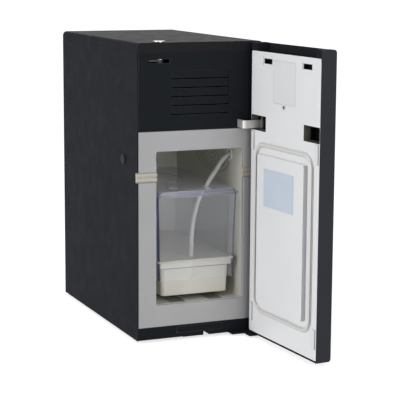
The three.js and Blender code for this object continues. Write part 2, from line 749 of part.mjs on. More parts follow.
// Top cover: a tray turned over, with round shoulders along both sides
function coverProfile(wall, bottom) {
  const side = HALF - wall;
  const top = CABINET_HEIGHT - wall;
  const radius = COVER_SHOULDER - wall;
  const profile = new THREE.Shape();
  profile.moveTo(-side, bottom);
  profile.lineTo(side, bottom);
  profile.absarc(side - radius, top - radius, radius, 0, Math.PI / 2, false);
  profile.absarc(radius - side, top - radius, radius, Math.PI / 2, Math.PI, false);
  return profile;
}
const coverInside = coverProfile(COVER_WALL, COVER_BOTTOM - CUT);
add(
  "top_cover",
  carve(
    pushY(coverProfile(0, COVER_BOTTOM), 0, CABINET_DEPTH, SHOULDER_STEPS),
    pushY(coverInside, COVER_WALL, CABINET_DEPTH - COVER_WALL, SHOULDER_STEPS),
    rodZ(LOCK_X, LOCK_Y, BARREL_RADIUS + GAP, COVER_BOTTOM, CABINET_HEIGHT + CUT, ROUND_SIDES),
  ),
  CASE_BLACK,
);

// Upper front panel: lock slot, hooded louvres and the slot that the hinge strap comes out of
const slotRight = LOCK_SLOT_LEFT + LOCK_SLOT_WIDTH;
const slotTop = LOCK_SLOT_BOTTOM + LOCK_SLOT_HEIGHT;
const louvreRight = LOUVRE_LEFT + LOUVRE_WIDTH;
const louvreSlots = [];
const hoods = [];
for (let i = 0; i < LOUVRE_COUNT; i++) {
  const z = LOUVRE_FIRST + i * LOUVRE_PITCH + LOUVRE_SLOT / 2;
  louvreSlots.push(box(LOUVRE_LEFT, louvreRight, -CUT, PANEL_DEPTH + CUT, z - LOUVRE_SLOT, z));
  const side = outline([
    [0, z],
    [PANEL_DEPTH / 2, z],
    [PANEL_DEPTH / 2, z + LOUVRE_HOOD],
    [0, z + LOUVRE_HOOD],
    [-LOUVRE_PROUD, z + LOUVRE_PROUD / 2],
    [-LOUVRE_PROUD, z],
  ]);
  hoods.push(pushX(side, LOUVRE_LEFT, louvreRight));
}
const panelPlate = carve(
  box(-INNER_HALF, INNER_HALF, 0, PANEL_DEPTH, PANEL_BOTTOM, PANEL_TOP),
  box(LOCK_SLOT_LEFT, slotRight, -CUT, PANEL_DEPTH + CUT, LOCK_SLOT_BOTTOM, slotTop),
  box(STRAP_X - GAP, STRAP_X + STRAP_THICK + GAP, -CUT, PANEL_DEPTH + CUT, STRAP_BOTTOM - GAP, STRAP_TOP + GAP),
  box(LOUVRE_LEFT, louvreRight, -CUT, LOUVRE_GROOVE, LOUVRE_TOP - LOUVRE_GROOVE / 2, LOUVRE_TOP + LOUVRE_GROOVE / 2),
  ...louvreSlots,
);
add("upper_front_panel", join(panelPlate, ...hoods), PANEL_BLACK);

// Front frame round the cavity mouth, grooved for the tube inserts
const mouth = rectangle(-MOUTH_HALF, MOUTH_HALF, MOUTH_BOTTOM, MOUTH_TOP, MOUTH_CORNER);
add(
  "front_frame",
  carve(
    box(-INNER_HALF, INNER_HALF, 0, FRAME_DEPTH, FRAME_BOTTOM, FRAME_TOP),
    pushY(mouth, -CUT, FRAME_DEPTH + CUT),
    box(-HALF, HALF, -CUT, INSERT_DEPTH + GAP, INSERT_BOTTOM - GAP, insertTop + GAP),
  ),
  FRAME_GREY,
);

// Tube inserts: two half-round ribs each
function tubeInsert(x0, x1) {
  const ribs = [1, 3].map((place) =>
    rodX(INSERT_RIB + INSERT_SKIN, INSERT_BOTTOM + place * INSERT_RIB, INSERT_RIB, x0, x1, ROUND_SIDES),
  );
  const web = box(x0, x1, INSERT_DEPTH / 2, INSERT_DEPTH, INSERT_BOTTOM, insertTop);
  const behind = box(x0 - CUT, x1 + CUT, INSERT_DEPTH, INSERT_DEPTH + 3 * INSERT_RIB, INSERT_BOTTOM - CUT, insertTop + CUT);
  return carve(join(...ribs, web), behind);
}
add("tube_insert_left", tubeInsert(-HALF - INSERT_OUT, -MOUTH_HALF + INSERT_IN), SILICONE);
add("tube_insert_right", tubeInsert(MOUTH_HALF - INSERT_IN, HALF + INSERT_OUT), SILICONE);

// Cavity liner: box open at the front, flange behind the frame, floor grooves, ring relief and port holes
const linerShape = rectangle(-LINER_HALF, LINER_HALF, LINER_BOTTOM, LINER_TOP, CAVITY_CORNER + LINER_WALL);
const cavityShape = rectangle(-CAVITY_HALF, CAVITY_HALF, CAVITY_FLOOR, CAVITY_TOP, CAVITY_CORNER);
const flange = box(
  -LINER_HALF - LINER_FLANGE,
  LINER_HALF + LINER_FLANGE,
  LINER_FRONT,
  FLANGE_BACK,
  LINER_BOTTOM - LINER_FLANGE,
  LINER_TOP + LINER_FLANGE,
);
const grooveFar = GROOVE_NEAR + GROOVE_WIDTH;
const grooveFloor = CAVITY_FLOOR - GROOVE_DEPTH;
const pans = [];
const grooves = [];
for (const side of [-1, 1]) {
  const x0 = side < 0 ? -grooveFar : GROOVE_NEAR;
  const x1 = x0 + GROOVE_WIDTH;
  pans.push(box(x0 - LINER_WALL, x1 + LINER_WALL, LINER_FRONT, LINER_BACK, grooveFloor - LINER_WALL, CAVITY_FLOOR));
  grooves.push(box(x0, x1, FLANGE_BACK, CAVITY_DEPTH, grooveFloor, CAVITY_FLOOR + GROOVE_DEPTH));
}
const ringLimit = carve(
  box(0, HALF, 0, CABINET_DEPTH, CAVITY_FLOOR, CAVITY_TOP + LINER_WALL / 2),
  rodX(RIGHT_PORT_Y, PORT_Z, FITTING_FLANGE + GAP, 0, CAVITY_HALF, ROUND_SIDES),
);
const rings = Array.from({ length: RING_COUNT }, (_, i) => {
  const tall = RING_FIRST + i * RING_PITCH;
  const long = tall * RING_LENGTH_SHARE;
  const oval = new THREE.Shape().absellipse(RING_Y, RING_Z, long + RING_WIDTH, tall + RING_WIDTH / 2, 0, Math.PI * 2);
  oval.holes.push(new THREE.Path().absellipse(RING_Y, RING_Z, long - RING_WIDTH, tall - RING_WIDTH / 2, 0, Math.PI * 2));
  return pushX(oval, CAVITY_HALF - RING_HEIGHT, CAVITY_HALF + LINER_WALL / 2, OVAL_SIDES / 2).intersect(ringLimit);
});
const linerShell = carve(
  join(pushY(linerShape, LINER_FRONT, LINER_BACK), flange, ...pans),
  pushY(cavityShape, LINER_FRONT - CUT, CAVITY_DEPTH),
  ...grooves,
);
add(
  "cavity_liner",
  carve(
    join(linerShell, ...rings),
    rodX(LEFT_PORT_Y, PORT_Z, PLUG_SHANK + GAP, -LINER_HALF - CUT, -CAVITY_HALF + CUT, ROUND_SIDES),
    rodX(RIGHT_PORT_Y, PORT_Z, FITTING_BODY + GAP, CAVITY_HALF - CUT, LINER_HALF + CUT, ROUND_SIDES),
  ),
  LINER_GREY,
);

// Foam between the liner and the case
const linerSpace = rectangle(
  -LINER_HALF - GAP,
  LINER_HALF + GAP,
  LINER_BOTTOM - GAP,
  LINER_TOP + GAP,
  CAVITY_CORNER,
);
const panSpaces = [-1, 1].map((side) => {
  const x0 = side < 0 ? -grooveFar : GROOVE_NEAR;
  const reach = LINER_WALL + GAP;
  return box(x0 - reach, x0 + GROOVE_WIDTH + reach, 0, LINER_BACK + GAP, grooveFloor - reach, CAVITY_FLOOR);
});
const coldTop = COLD_BOTTOM + COLD_THICK;
const blockHalf = BLOCK_SIZE / 2;
add(
  "foam_insulation",
  carve(
    box(-INNER_HALF, INNER_HALF, FLANGE_BACK + GAP, FOAM_BACK, TRAY_TOP + GAP, DIVIDER_BOTTOM - GAP),
    pushY(linerSpace, 0, LINER_BACK + GAP),
    ...panSpaces,
    box(
      -COLD_WIDTH / 2 - GAP,
      COLD_WIDTH / 2 + GAP,
      COLD_FRONT - GAP,
      COLD_FRONT + COLD_LENGTH + GAP,
      LINER_TOP,
      coldTop + GAP,
    ),
    box(
      -blockHalf - GAP,
      blockHalf + GAP,
      COLD_MIDDLE - blockHalf - GAP,
      COLD_MIDDLE + blockHalf + GAP,
      LINER_TOP,
      DIVIDER_TOP,
    ),
    rodX(LEFT_PORT_Y, PORT_Z, PLUG_SHANK + GAP, -HALF, 0, ROUND_SIDES),
    rodX(RIGHT_PORT_Y, PORT_Z, FITTING_BODY + GAP, 0, HALF, ROUND_SIDES),
  ),
  FOAM,
);

// Divider between the cavity and the machine compartment
add(
  "divider_plate",
  carve(
    box(-INNER_HALF, INNER_HALF, LINER_FRONT, BACK_INNER - GAP, DIVIDER_BOTTOM, DIVIDER_TOP),
    box(
      -blockHalf - GAP,
      blockHalf + GAP,
      COLD_MIDDLE - blockHalf - GAP,
      COLD_MIDDLE + blockHalf + GAP,
      DIVIDER_BOTTOM - CUT,
      DIVIDER_TOP + CUT,
    ),
  ),
  STEEL,
);

// Cooling unit: cold plate with its block, thermoelectric module and finned heat sink
add(
  "cold_plate",
  join(
    box(-COLD_WIDTH / 2, COLD_WIDTH / 2, COLD_FRONT, COLD_FRONT + COLD_LENGTH, COLD_BOTTOM, coldTop),
    box(
      -blockHalf,
      blockHalf,
      COLD_MIDDLE - blockHalf,
      COLD_MIDDLE + blockHalf,
      COLD_BOTTOM,
      MODULE_BOTTOM - GAP,
    ),
  ),
  ALUMINIUM,
);
const moduleHalf = MODULE_SIZE / 2;
add(
  "thermoelectric_module",
  box(-moduleHalf, moduleHalf, COLD_MIDDLE - moduleHalf, COLD_MIDDLE + moduleHalf, MODULE_BOTTOM, MODULE_TOP),
  CERAMIC,
);
const sinkBack = SINK_FRONT + SINK_LENGTH;
const finStep = (2 * SINK_HALF - FIN_THICK) / (FIN_COUNT - 1);
const fins = Array.from({ length: FIN_COUNT }, (_, i) => {
  const x = i * finStep - SINK_HALF;
  return box(x, x + FIN_THICK, SINK_FRONT, sinkBack, SINK_BOTTOM, SINK_BOTTOM + SINK_HEIGHT);
});
add(
  "hot_heat_sink",
  join(box(-SINK_HALF, SINK_HALF, SINK_FRONT, sinkBack, SINK_BOTTOM, SINK_BOTTOM + SINK_BASE), ...fins),
  ALUMINIUM,
);

// Fan: frame with hub and struts, and the rotor in it
const fanFront = PANEL_DEPTH + GAP;
const fanBack = fanFront + FAN_DEPTH;
const fanHalf = FAN_SIZE / 2;
const hubFront = fanBack - FAN_PLATE;
const frameRing = carve(
  box(-fanHalf, fanHalf, fanFront, fanBack, FAN_Z - fanHalf, FAN_Z + fanHalf),
  rodY(0, FAN_Z, FAN_BORE, fanFront - CUT, fanBack + CUT, ROUND_SIDES),
);
const strutHalf = FAN_STRUT / 2;
add(
  "fan_frame",
  carve(
    join(
      frameRing,
      rodY(0, FAN_Z, FAN_HUB, hubFront, fanBack, ROUND_SIDES),
      box(-FAN_BORE - CUT, FAN_BORE + CUT, hubFront, fanBack, FAN_Z - strutHalf, FAN_Z + strutHalf),
      box(-strutHalf, strutHalf, hubFront, fanBack, FAN_Z - FAN_BORE - CUT, FAN_Z + FAN_BORE + CUT),
    ),
    rodY(0, FAN_Z, FAN_SHAFT + GAP, hubFront - CUT, fanBack + CUT),
  ),
  PLASTIC_BLACK,
);
const bladeStart = FAN_HUB - BLADE_ROOT;
const bladeEnd = FAN_BORE - BLADE_TIP_GAP;
const rotorFront = fanFront + ROTOR_GAP;
const rotorBack = hubFront - ROTOR_GAP;
const blades = Array.from({ length: BLADE_COUNT }, (_, i) => {
  const blade = new THREE.BoxGeometry(bladeEnd - bladeStart, BLADE_WIDTH, BLADE_THICK);
  blade.rotateX(THREE.MathUtils.degToRad(BLADE_PITCH));
  blade.translate((bladeStart + bladeEnd) / 2, 0, 0);
  blade.rotateY((i * Math.PI * 2) / BLADE_COUNT);
  return solid(blade.translate(0, (rotorFront + rotorBack) / 2, FAN_Z));
});
add(
  "fan_rotor",
  join(
    rodY(0, FAN_Z, FAN_HUB, rotorFront, rotorBack, ROUND_SIDES),
    rodY(0, FAN_Z, FAN_SHAFT, rotorFront, fanBack),
    ...blades,
  ),
  PLASTIC_BLACK,
);

// Power supply and inlet
const supplyBack = BACK_INNER - SUPPLY_INSET;
add(
  "power_supply",
  box(
    SUPPLY_X - SUPPLY_WIDTH / 2,
    SUPPLY_X + SUPPLY_WIDTH / 2,
    supplyBack - SUPPLY_LENGTH,
    supplyBack,
    DIVIDER_TOP + GAP,
    DIVIDER_TOP + SUPPLY_HEIGHT,
  ),
  ALUMINIUM,
);
const inletOut = CABINET_DEPTH + GAP + INLET_FLANGE_THICK;
add(
  "power_inlet",
  carve(
    join(
      box(inletLeft, inletRight, BACK_INNER - INLET_DEPTH, inletOut, INLET_Z, inletTop),
      box(
        inletLeft - INLET_FLANGE,
        inletRight + INLET_FLANGE,
        CABINET_DEPTH + GAP,
        inletOut,
        INLET_Z - INLET_FLANGE,
        inletTop + INLET_FLANGE,
      ),
    ),
    box(
      inletLeft + INLET_SOCKET_WALL,
      inletRight - INLET_SOCKET_WALL,
      inletOut - INLET_SOCKET_DEPTH,
      inletOut + CUT,
      INLET_Z + INLET_SOCKET_WALL,
      inletTop - INLET_SOCKET_WALL,
    ),
  ),
  PLASTIC_BLACK,
);
// Left port: stopper from outside, and the long nut on it inside the cavity
const nutStart = -CAVITY_HALF + GAP;
const nutEnd = nutStart + NUT_REACH;
add(
  "left_port_plug",
  turnX(
    [
      [-HALF - GAP - PLUG_DOME, 0],
      [-HALF - GAP - PLUG_DOME, PLUG_HEAD / 2],
      [-HALF - GAP - PLUG_RIM, PLUG_HEAD],
      [-HALF - GAP, PLUG_HEAD],
      [-HALF - GAP, PLUG_SHANK],
      [nutEnd - NUT_END, PLUG_SHANK],
      [nutEnd - NUT_END, 0],
    ],
    LEFT_PORT_Y,
    PORT_Z,
  ),
  RUBBER,
);
add(
  "left_port_nut",
  turnX(
    [
      [nutStart, PLUG_SHANK + GAP],
      [nutStart, NUT_RADIUS],
      [nutEnd, NUT_RADIUS],
      [nutEnd, PLUG_SHANK + GAP],
      [nutStart, PLUG_SHANK + GAP],
    ],
    LEFT_PORT_Y,
    PORT_Z,
  ),
  PLASTIC_BLACK,
);

// Right port: through-wall hose fitting with a socket inside and a stub outside, held by a nut
const flangeBack = CAVITY_HALF - GAP;
const flangeFront = flangeBack - FITTING_RIM;
const socketEnd = flangeFront + FITTING_SOCKET_DEPTH;
const stubEnd = HALF + FITTING_OUT;
add(
  "hose_fitting",
  turnX(
    [
      [socketEnd, FITTING_BORE],
      [socketEnd, FITTING_SOCKET],
      [flangeFront, FITTING_SOCKET],
      [flangeFront, FITTING_FLANGE],
      [flangeBack, FITTING_FLANGE],
      [flangeBack, FITTING_BODY],
      [HALF + GAP, FITTING_BODY],
      [HALF + GAP, FITTING_STUB],
      [stubEnd, FITTING_STUB],
      [stubEnd, FITTING_BORE],
      [socketEnd, FITTING_BORE],
    ],
    RIGHT_PORT_Y,
    PORT_Z,
  ),
  PLASTIC_BLACK,
);
add(
  "fitting_nut",
  carve(
    rodX(
      RIGHT_PORT_Y,
      PORT_Z,
      FITTING_NUT_RADIUS,
      HALF + 2 * GAP,
      HALF + 2 * GAP + FITTING_NUT_HEIGHT,
      HEX_SIDES,
    ),
    rodX(RIGHT_PORT_Y, PORT_Z, FITTING_STUB + GAP, HALF, HALF + CUT + 2 * FITTING_NUT_HEIGHT),
  ),
  PLASTIC_BLACK,
);

// Lock: barrel with its bezel, and the plug, cam and nut that turn in it
const barrelBottom = CAM_TOP + 2 * GAP;
const bezelBottom = CABINET_HEIGHT + GAP;
add(
  "lock_barrel",
  carve(
    join(
      rodZ(LOCK_X, LOCK_Y, BARREL_RADIUS, barrelBottom, bezelBottom + BEZEL_HEIGHT, ROUND_SIDES),
      rodZ(LOCK_X, LOCK_Y, BEZEL_RADIUS, bezelBottom, bezelBottom + BEZEL_HEIGHT, ROUND_SIDES),
    ),
    rodZ(LOCK_X, LOCK_Y, PLUG_RADIUS + GAP, barrelBottom - CUT, CABINET_HEIGHT + 4 * BEZEL_HEIGHT, ROUND_SIDES),
  ),
  CHROME,
);
const nutBottom = CAM_BOTTOM - GAP - CAM_NUT_HEIGHT;
const plugTop = bezelBottom + PLUG_PROUD;
add(
  "lock_plug",
  carve(
    join(
      rodZ(LOCK_X, LOCK_Y, PLUG_RADIUS, CAM_TOP + GAP, plugTop, ROUND_SIDES),
      rodZ(LOCK_X, LOCK_Y, PLUG_STUB, nutBottom, CAM_TOP + CUT),
    ),
    box(
      LOCK_X - KEYWAY_WIDTH / 2,
      LOCK_X + KEYWAY_WIDTH / 2,
      LOCK_Y - KEYWAY_LENGTH / 2,
      LOCK_Y + KEYWAY_LENGTH / 2,
      plugTop - KEYWAY_DEPTH,
      plugTop + CUT,
    ),
  ),
  STEEL,
);
const camHalf = CAM_WIDTH / 2;
const camRound = LOCK_X - CAM_REACH + camHalf;
add(
  "lock_cam",
  carve(
    join(
      rodZ(LOCK_X, LOCK_Y, camHalf, CAM_BOTTOM, CAM_TOP, ROUND_SIDES),
      rodZ(camRound, LOCK_Y, camHalf, CAM_BOTTOM, CAM_TOP, ROUND_SIDES),
      box(camRound, LOCK_X, LOCK_Y - camHalf, LOCK_Y + camHalf, CAM_BOTTOM, CAM_TOP),
    ),
    rodZ(LOCK_X, LOCK_Y, PLUG_STUB + GAP, CAM_BOTTOM - CUT, CAM_TOP + CUT),
  ),
  STEEL,
);
add(
  "lock_cam_nut",
  carve(
    rodZ(LOCK_X, LOCK_Y, CAM_NUT_RADIUS, nutBottom, CAM_BOTTOM - GAP, HEX_SIDES),
    rodZ(LOCK_X, LOCK_Y, PLUG_STUB + GAP, nutBottom - CUT, CAM_BOTTOM),
  ),
  STEEL,
);

// Upper hinge strap: flange behind the panel, leg through it, bend, arm and eye on the hinge axis
const strapInner = STRAP_X + STRAP_THICK;
const armFront = AXIS_Y - STRAP_THICK / 2;
const armBack = AXIS_Y + STRAP_THICK / 2;
const bendX = STRAP_X + STRAP_BEND;
const bendY = armFront + STRAP_BEND;
const bendShape = new THREE.Shape();
bendShape.moveTo(STRAP_X, bendY);
bendShape.absarc(bendX, bendY, STRAP_BEND, Math.PI, Math.PI * 1.5, false);
bendShape.lineTo(bendX, armBack);
bendShape.absarc(bendX, bendY, STRAP_BEND - STRAP_THICK, Math.PI * 1.5, Math.PI, true);
const flangeFace = PANEL_DEPTH + GAP;
add(
  "upper_hinge_strap",
  carve(
    join(
      box(STRAP_X, strapInner, bendY, flangeFace + STRAP_THICK, STRAP_BOTTOM, STRAP_TOP),
      box(STRAP_X, STRAP_X + STRAP_FLANGE, flangeFace, flangeFace + STRAP_THICK, STRAP_BOTTOM, STRAP_TOP),
      pushZ(bendShape, STRAP_BOTTOM, STRAP_TOP),
      box(bendX, AXIS_X, armFront, armBack, STRAP_BOTTOM, STRAP_TOP),
      rodZ(AXIS_X, AXIS_Y, STRAP_EYE, STRAP_BOTTOM, STRAP_TOP, ROUND_SIDES),
    ),
    rodZ(AXIS_X, AXIS_Y, UPPER_PIN_RADIUS + GAP, STRAP_BOTTOM - CUT, STRAP_TOP + CUT),
  ),
  STEEL,
);

// Lower hinge bracket under the kick plate, with its pin and screws
const bracketBottom = BRACKET_TOP - BRACKET_THICK;
const bracketScrews = [BRACKET_LEFT + BRACKET_SCREW_INSET, INNER_HALF - BRACKET_SCREW_INSET];
add(
  "lower_hinge_bracket",
  carve(
    pushZ(
      outline([
        [BRACKET_LEFT, BRACKET_BACK],
        [BRACKET_LEFT, -BRACKET_REACH],
        [BRACKET_STEP_X, -BRACKET_REACH],
        [BRACKET_STEP_X, -BRACKET_STEP_REACH],
        [INNER_HALF, -BRACKET_STEP_REACH],
        [INNER_HALF, BRACKET_BACK],
      ]),
      bracketBottom,
      BRACKET_TOP,
    ),
    ...bracketScrews.map((x) => rodZ(x, BRACKET_SCREW_Y, SCREW_SHANK + GAP, bracketBottom - CUT, BRACKET_TOP + CUT)),
  ),
  CASE_BLACK,
);
add(
  "lower_hinge_pin",
  rodZ(AXIS_X, AXIS_Y, LOWER_PIN_RADIUS, BRACKET_TOP + GAP, BRACKET_TOP + LOWER_PIN_HEIGHT),
  STEEL,
);
bracketScrews.forEach((x, i) => {
  const headTop = bracketBottom - GAP;
  add(
    ["bracket_screw_inner", "bracket_screw_outer"][i],
    join(
      rodZ(x, BRACKET_SCREW_Y, SCREW_HEAD_RADIUS, headTop - SCREW_HEAD_HEIGHT, headTop),
      rodZ(x, BRACKET_SCREW_Y, SCREW_SHANK, headTop - SCREW_HEAD_HEIGHT, TRAY_BOTTOM - GAP),
    ),
    STEEL,
  );
});

// Clear vessel: drafted walls that run past its floor as a skirt
function vesselSection(z, inset) {
  const lean = (VESSEL_DRAFT * (z - VESSEL_BOTTOM)) / VESSEL_HEIGHT;
  return [
    z,
    VESSEL_HALF + lean - inset,
    VESSEL_FRONT - lean + inset,
    VESSEL_BACK + lean - inset,
    VESSEL_CORNER - inset,
  ];
}
const floorTop = VESSEL_FLOOR + VESSEL_FLOOR_THICK;
add(
  "milk_vessel",
  carve(
    loft([vesselSection(VESSEL_BOTTOM, 0), vesselSection(VESSEL_TOP, 0)]),
    loft([vesselSection(floorTop, VESSEL_WALL), vesselSection(VESSEL_TOP + CUT, VESSEL_WALL)]),
    loft([vesselSection(VESSEL_BOTTOM - CUT, VESSEL_WALL), vesselSection(VESSEL_FLOOR, VESSEL_WALL)]),
  ),
  CLEAR,
);

// Lid: brim on the vessel's edge, raised plate, spigot inside, two holes with bosses and an oval band
const brimBottom = VESSEL_TOP + GAP;
const brimTop = brimBottom + LID_BRIM_HEIGHT;
const lidTop = brimTop + LID_RISE;
const brimHalf = VESSEL_HALF + VESSEL_DRAFT + LID_BRIM;
const brimFront = VESSEL_FRONT - VESSEL_DRAFT - LID_BRIM;
const brimBack = VESSEL_BACK + VESSEL_DRAFT + LID_BRIM;
const spigotInset = VESSEL_WALL + GAP;
const spigotHalf = VESSEL_HALF + VESSEL_DRAFT - spigotInset;
const spigotFront = VESSEL_FRONT - VESSEL_DRAFT + spigotInset;
const spigotBack = VESSEL_BACK + VESSEL_DRAFT - spigotInset;
const lidBody = join(
  loft([
    [brimBottom, brimHalf, brimFront, brimBack, VESSEL_CORNER + LID_BRIM],
    [brimTop, brimHalf, brimFront, brimBack, VESSEL_CORNER + LID_BRIM],
  ]),
  loft([
    [brimTop - CUT, brimHalf - LID_BRIM, brimFront + LID_BRIM, brimBack - LID_BRIM, VESSEL_CORNER],
    [lidTop, brimHalf - LID_BRIM - LID_TAPER, brimFront + LID_TAPER, brimBack - LID_TAPER, VESSEL_CORNER],
  ]),
  loft([
    [VESSEL_TOP - LID_SPIGOT, spigotHalf - CUT, spigotFront + CUT, spigotBack - CUT, VESSEL_CORNER - spigotInset],
    [brimBottom + CUT, spigotHalf - CUT, spigotFront + CUT, spigotBack - CUT, VESSEL_CORNER - spigotInset],
  ]),
);
const lidHollow = loft([
  [
    VESSEL_TOP - LID_SPIGOT - CUT,
    spigotHalf - CUT - LID_PLATE,
    spigotFront + CUT + LID_PLATE,
    spigotBack - CUT - LID_PLATE,
    VESSEL_CORNER - spigotInset,
  ],
  [
    lidTop - LID_PLATE,
    spigotHalf - CUT - LID_PLATE,
    spigotFront + CUT + LID_PLATE,
    spigotBack - CUT - LID_PLATE,
    VESSEL_CORNER - spigotInset,
  ],
]);
const lidOval = new THREE.Shape().absellipse(
  0,
  LID_OVAL_Y,
  LID_OVAL_HALF_WIDTH,
  LID_OVAL_HALF_LENGTH,
  0,
  Math.PI * 2,
);
lidOval.holes.push(
  new THREE.Path().absellipse(
    0,
    LID_OVAL_Y,
    LID_OVAL_HALF_WIDTH - LID_OVAL_BAND,
    LID_OVAL_HALF_LENGTH - LID_OVAL_BAND,
    0,
    Math.PI * 2,
  ),
);
const lidHoleX = flangeFront - LID_HOLE_SIDE;
const holeSides = [-lidHoleX, lidHoleX];
add(
  "vessel_lid",
  carve(
    join(
      carve(lidBody, lidHollow),
      pushZ(lidOval, lidTop - LID_PLATE / 2, lidTop + LID_OVAL_HEIGHT, OVAL_SIDES / 2),
      ...holeSides.map((x) =>
        rodZ(x, LID_HOLE_Y, LID_HOLE_RADIUS + LID_BOSS_WALL, lidTop - LID_PLATE, lidTop + LID_BOSS_HEIGHT, ROUND_SIDES),
      ),
    ),
    ...holeSides.map((x) =>
      rodZ(x, LID_HOLE_Y, LID_HOLE_RADIUS, lidTop - 2 * LID_PLATE, lidTop + LID_BOSS_HEIGHT + CUT, ROUND_SIDES),
    ),
  ),
  CLEAR,
);

// White base box: wide rim, drafted body open below, on four feet
const boxBack = BOX_FRONT + BOX_LENGTH;
const bodyHalf = BOX_RIM_HALF - BOX_RIM_OVER;
const bodyFront = BOX_FRONT + BOX_RIM_OVER;
const bodyBack = boxBack - BOX_RIM_OVER;
const boxFootHeight = BOX_LIFT - GAP;
const boxFootX = bodyHalf - BOX_FOOT_SIDE;
const boxFeet = [];
for (const x of [-boxFootX, boxFootX]) {
  for (const y of [bodyFront + BOX_FOOT_INSET, bodyBack - BOX_FOOT_INSET / 2]) {
    boxFeet.push(rodZ(x, y, BOX_FOOT_RADIUS, BOX_BOTTOM - boxFootHeight, BOX_RIM_BOTTOM + CUT));
  }
}
add(
  "base_box",
  join(
    carve(
      join(
        loft([
          [BOX_RIM_BOTTOM, BOX_RIM_HALF, BOX_FRONT, boxBack, BOX_CORNER - BOX_WALL],
          [BOX_TOP, BOX_RIM_HALF, BOX_FRONT, boxBack, BOX_CORNER - BOX_WALL],
        ]),
        loft([
          [BOX_BOTTOM, bodyHalf - BOX_BODY_DRAFT, bodyFront + BOX_BODY_DRAFT, bodyBack - BOX_BODY_DRAFT, BOX_CORNER],
          [BOX_RIM_BOTTOM + CUT, bodyHalf, bodyFront, bodyBack, BOX_CORNER],
        ]),
      ),
      loft([
        [
          BOX_BOTTOM - CUT,
          bodyHalf - BOX_BODY_DRAFT - BOX_WALL,
          bodyFront + BOX_BODY_DRAFT + BOX_WALL,
          bodyBack - BOX_BODY_DRAFT - BOX_WALL,
          BOX_CORNER - BOX_WALL,
        ],
        [
          BOX_TOP - BOX_WALL,
          bodyHalf - BOX_WALL,
          bodyFront + BOX_WALL,
          bodyBack - BOX_WALL,
          BOX_CORNER - BOX_WALL,
        ],
      ]),
    ),
    ...boxFeet,
  ),
  BOX_WHITE,
);

// Milk hose: from the fitting's socket down through the lid's right hole to the vessel floor
const hoseDepth = VESSEL_TOP - floorTop;
const hoseRoute = [
  [socketEnd - GAP, RIGHT_PORT_Y, PORT_Z],
  [flangeFront, RIGHT_PORT_Y, PORT_Z - 0.6],
  [flangeFront - 11.4, 56, PORT_Z - 8],
  [flangeFront - 24.4, 53.5, PORT_Z - 23.5],
  [flangeFront - 36.4, 51.5, PORT_Z - 38.5],
  [flangeFront - 45.4, LID_HOLE_Y, PORT_Z - 51],
  [lidHoleX * 0.73, 48.5, floorTop + hoseDepth * 0.981],
  [lidHoleX * 0.46, 46.5, floorTop + hoseDepth * 0.841],
  [lidHoleX * 0.28, 46, floorTop + hoseDepth * 0.674],
  [lidHoleX * 0.15, 45.5, floorTop + hoseDepth * 0.498],
  [lidHoleX * 0.08, 45, floorTop + hoseDepth * 0.323],
  [lidHoleX * 0.06, 45, floorTop + hoseDepth * 0.164],
  [lidHoleX * 0.05, 45, floorTop + GAP],
];
const hosePath = new THREE.CatmullRomCurve3(
  hoseRoute.map(([x, y, z]) => new THREE.Vector3(x, y, z)),
  false,
  "centripetal",
);
const hoseGeometry = new THREE.ExtrudeGeometry(disc(0, 0, HOSE_DIAMETER / 2), {
  steps: HOSE_STEPS,
  extrudePath: hosePath,
  curveSegments: HOSE_SIDES / 2,
});
add("milk_hose", solid(hoseGeometry), HOSE_CLEAR);

// Door shell: sheet tray with a finger trough along its top edge
const shellSide = new THREE.Shape();
shellSide.moveTo(DOOR_IN, DOOR_BOTTOM);
shellSide.lineTo(DOOR_IN, DOOR_TOP);
shellSide.lineTo(DOOR_OUT + SHELL_EDGE, DOOR_TOP);
shellSide.absarc(DOOR_OUT + SHELL_EDGE, DOOR_TOP - SHELL_EDGE, SHELL_EDGE, Math.PI / 2, Math.PI, false);
shellSide.lineTo(DOOR_OUT, DOOR_BOTTOM + SHELL_EDGE);
shellSide.absarc(DOOR_OUT + SHELL_EDGE, DOOR_BOTTOM + SHELL_EDGE, SHELL_EDGE, Math.PI, Math.PI * 1.5, false);
const innerHalf = DOOR_HALF - SHELL_WALL;
const plateSpace = PLATE_BACK - GAP;
const lensZ = HATCH_BOTTOM + HATCH_HEIGHT / 2;
const lens = (grow) =>
  rectangle(
    HATCH_X - LENS_WIDTH / 2 - grow,
    HATCH_X + LENS_WIDTH / 2 + grow,
    lensZ - LENS_HEIGHT / 2 - grow,
    lensZ + LENS_HEIGHT / 2 + grow,
    LENS_CORNER + grow,
  );
addToDoor(
  "door_shell",
  carve(
    pushX(shellSide, -DOOR_HALF, DOOR_HALF),
    box(-innerHalf, innerHalf, SHELL_FRONT_INNER, 0, DOOR_BOTTOM + SHELL_WALL, TROUGH_FLOOR),
    box(-innerHalf, innerHalf, DOOR_OUT + TROUGH_WALL, 0, TROUGH_FLOOR + TROUGH_SHEET, DOOR_TOP + CUT),
    box(-innerHalf, innerHalf, plateSpace, 0, DOOR_BOTTOM + SHELL_WALL, DOOR_TOP + CUT),
    pushY(lens(GAP), DOOR_OUT - CUT, SHELL_FRONT_INNER + CUT),
    rodZ(AXIS_X, AXIS_Y, LOWER_PIN_RADIUS + GAP, DOOR_BOTTOM - CUT, DOOR_BOTTOM + SHELL_WALL + CUT),
  ),
  CASE_BLACK,
);
addToDoor("display_lens", pushY(lens(0), DOOR_OUT, SHELL_FRONT_INNER), PLASTIC_BLACK);

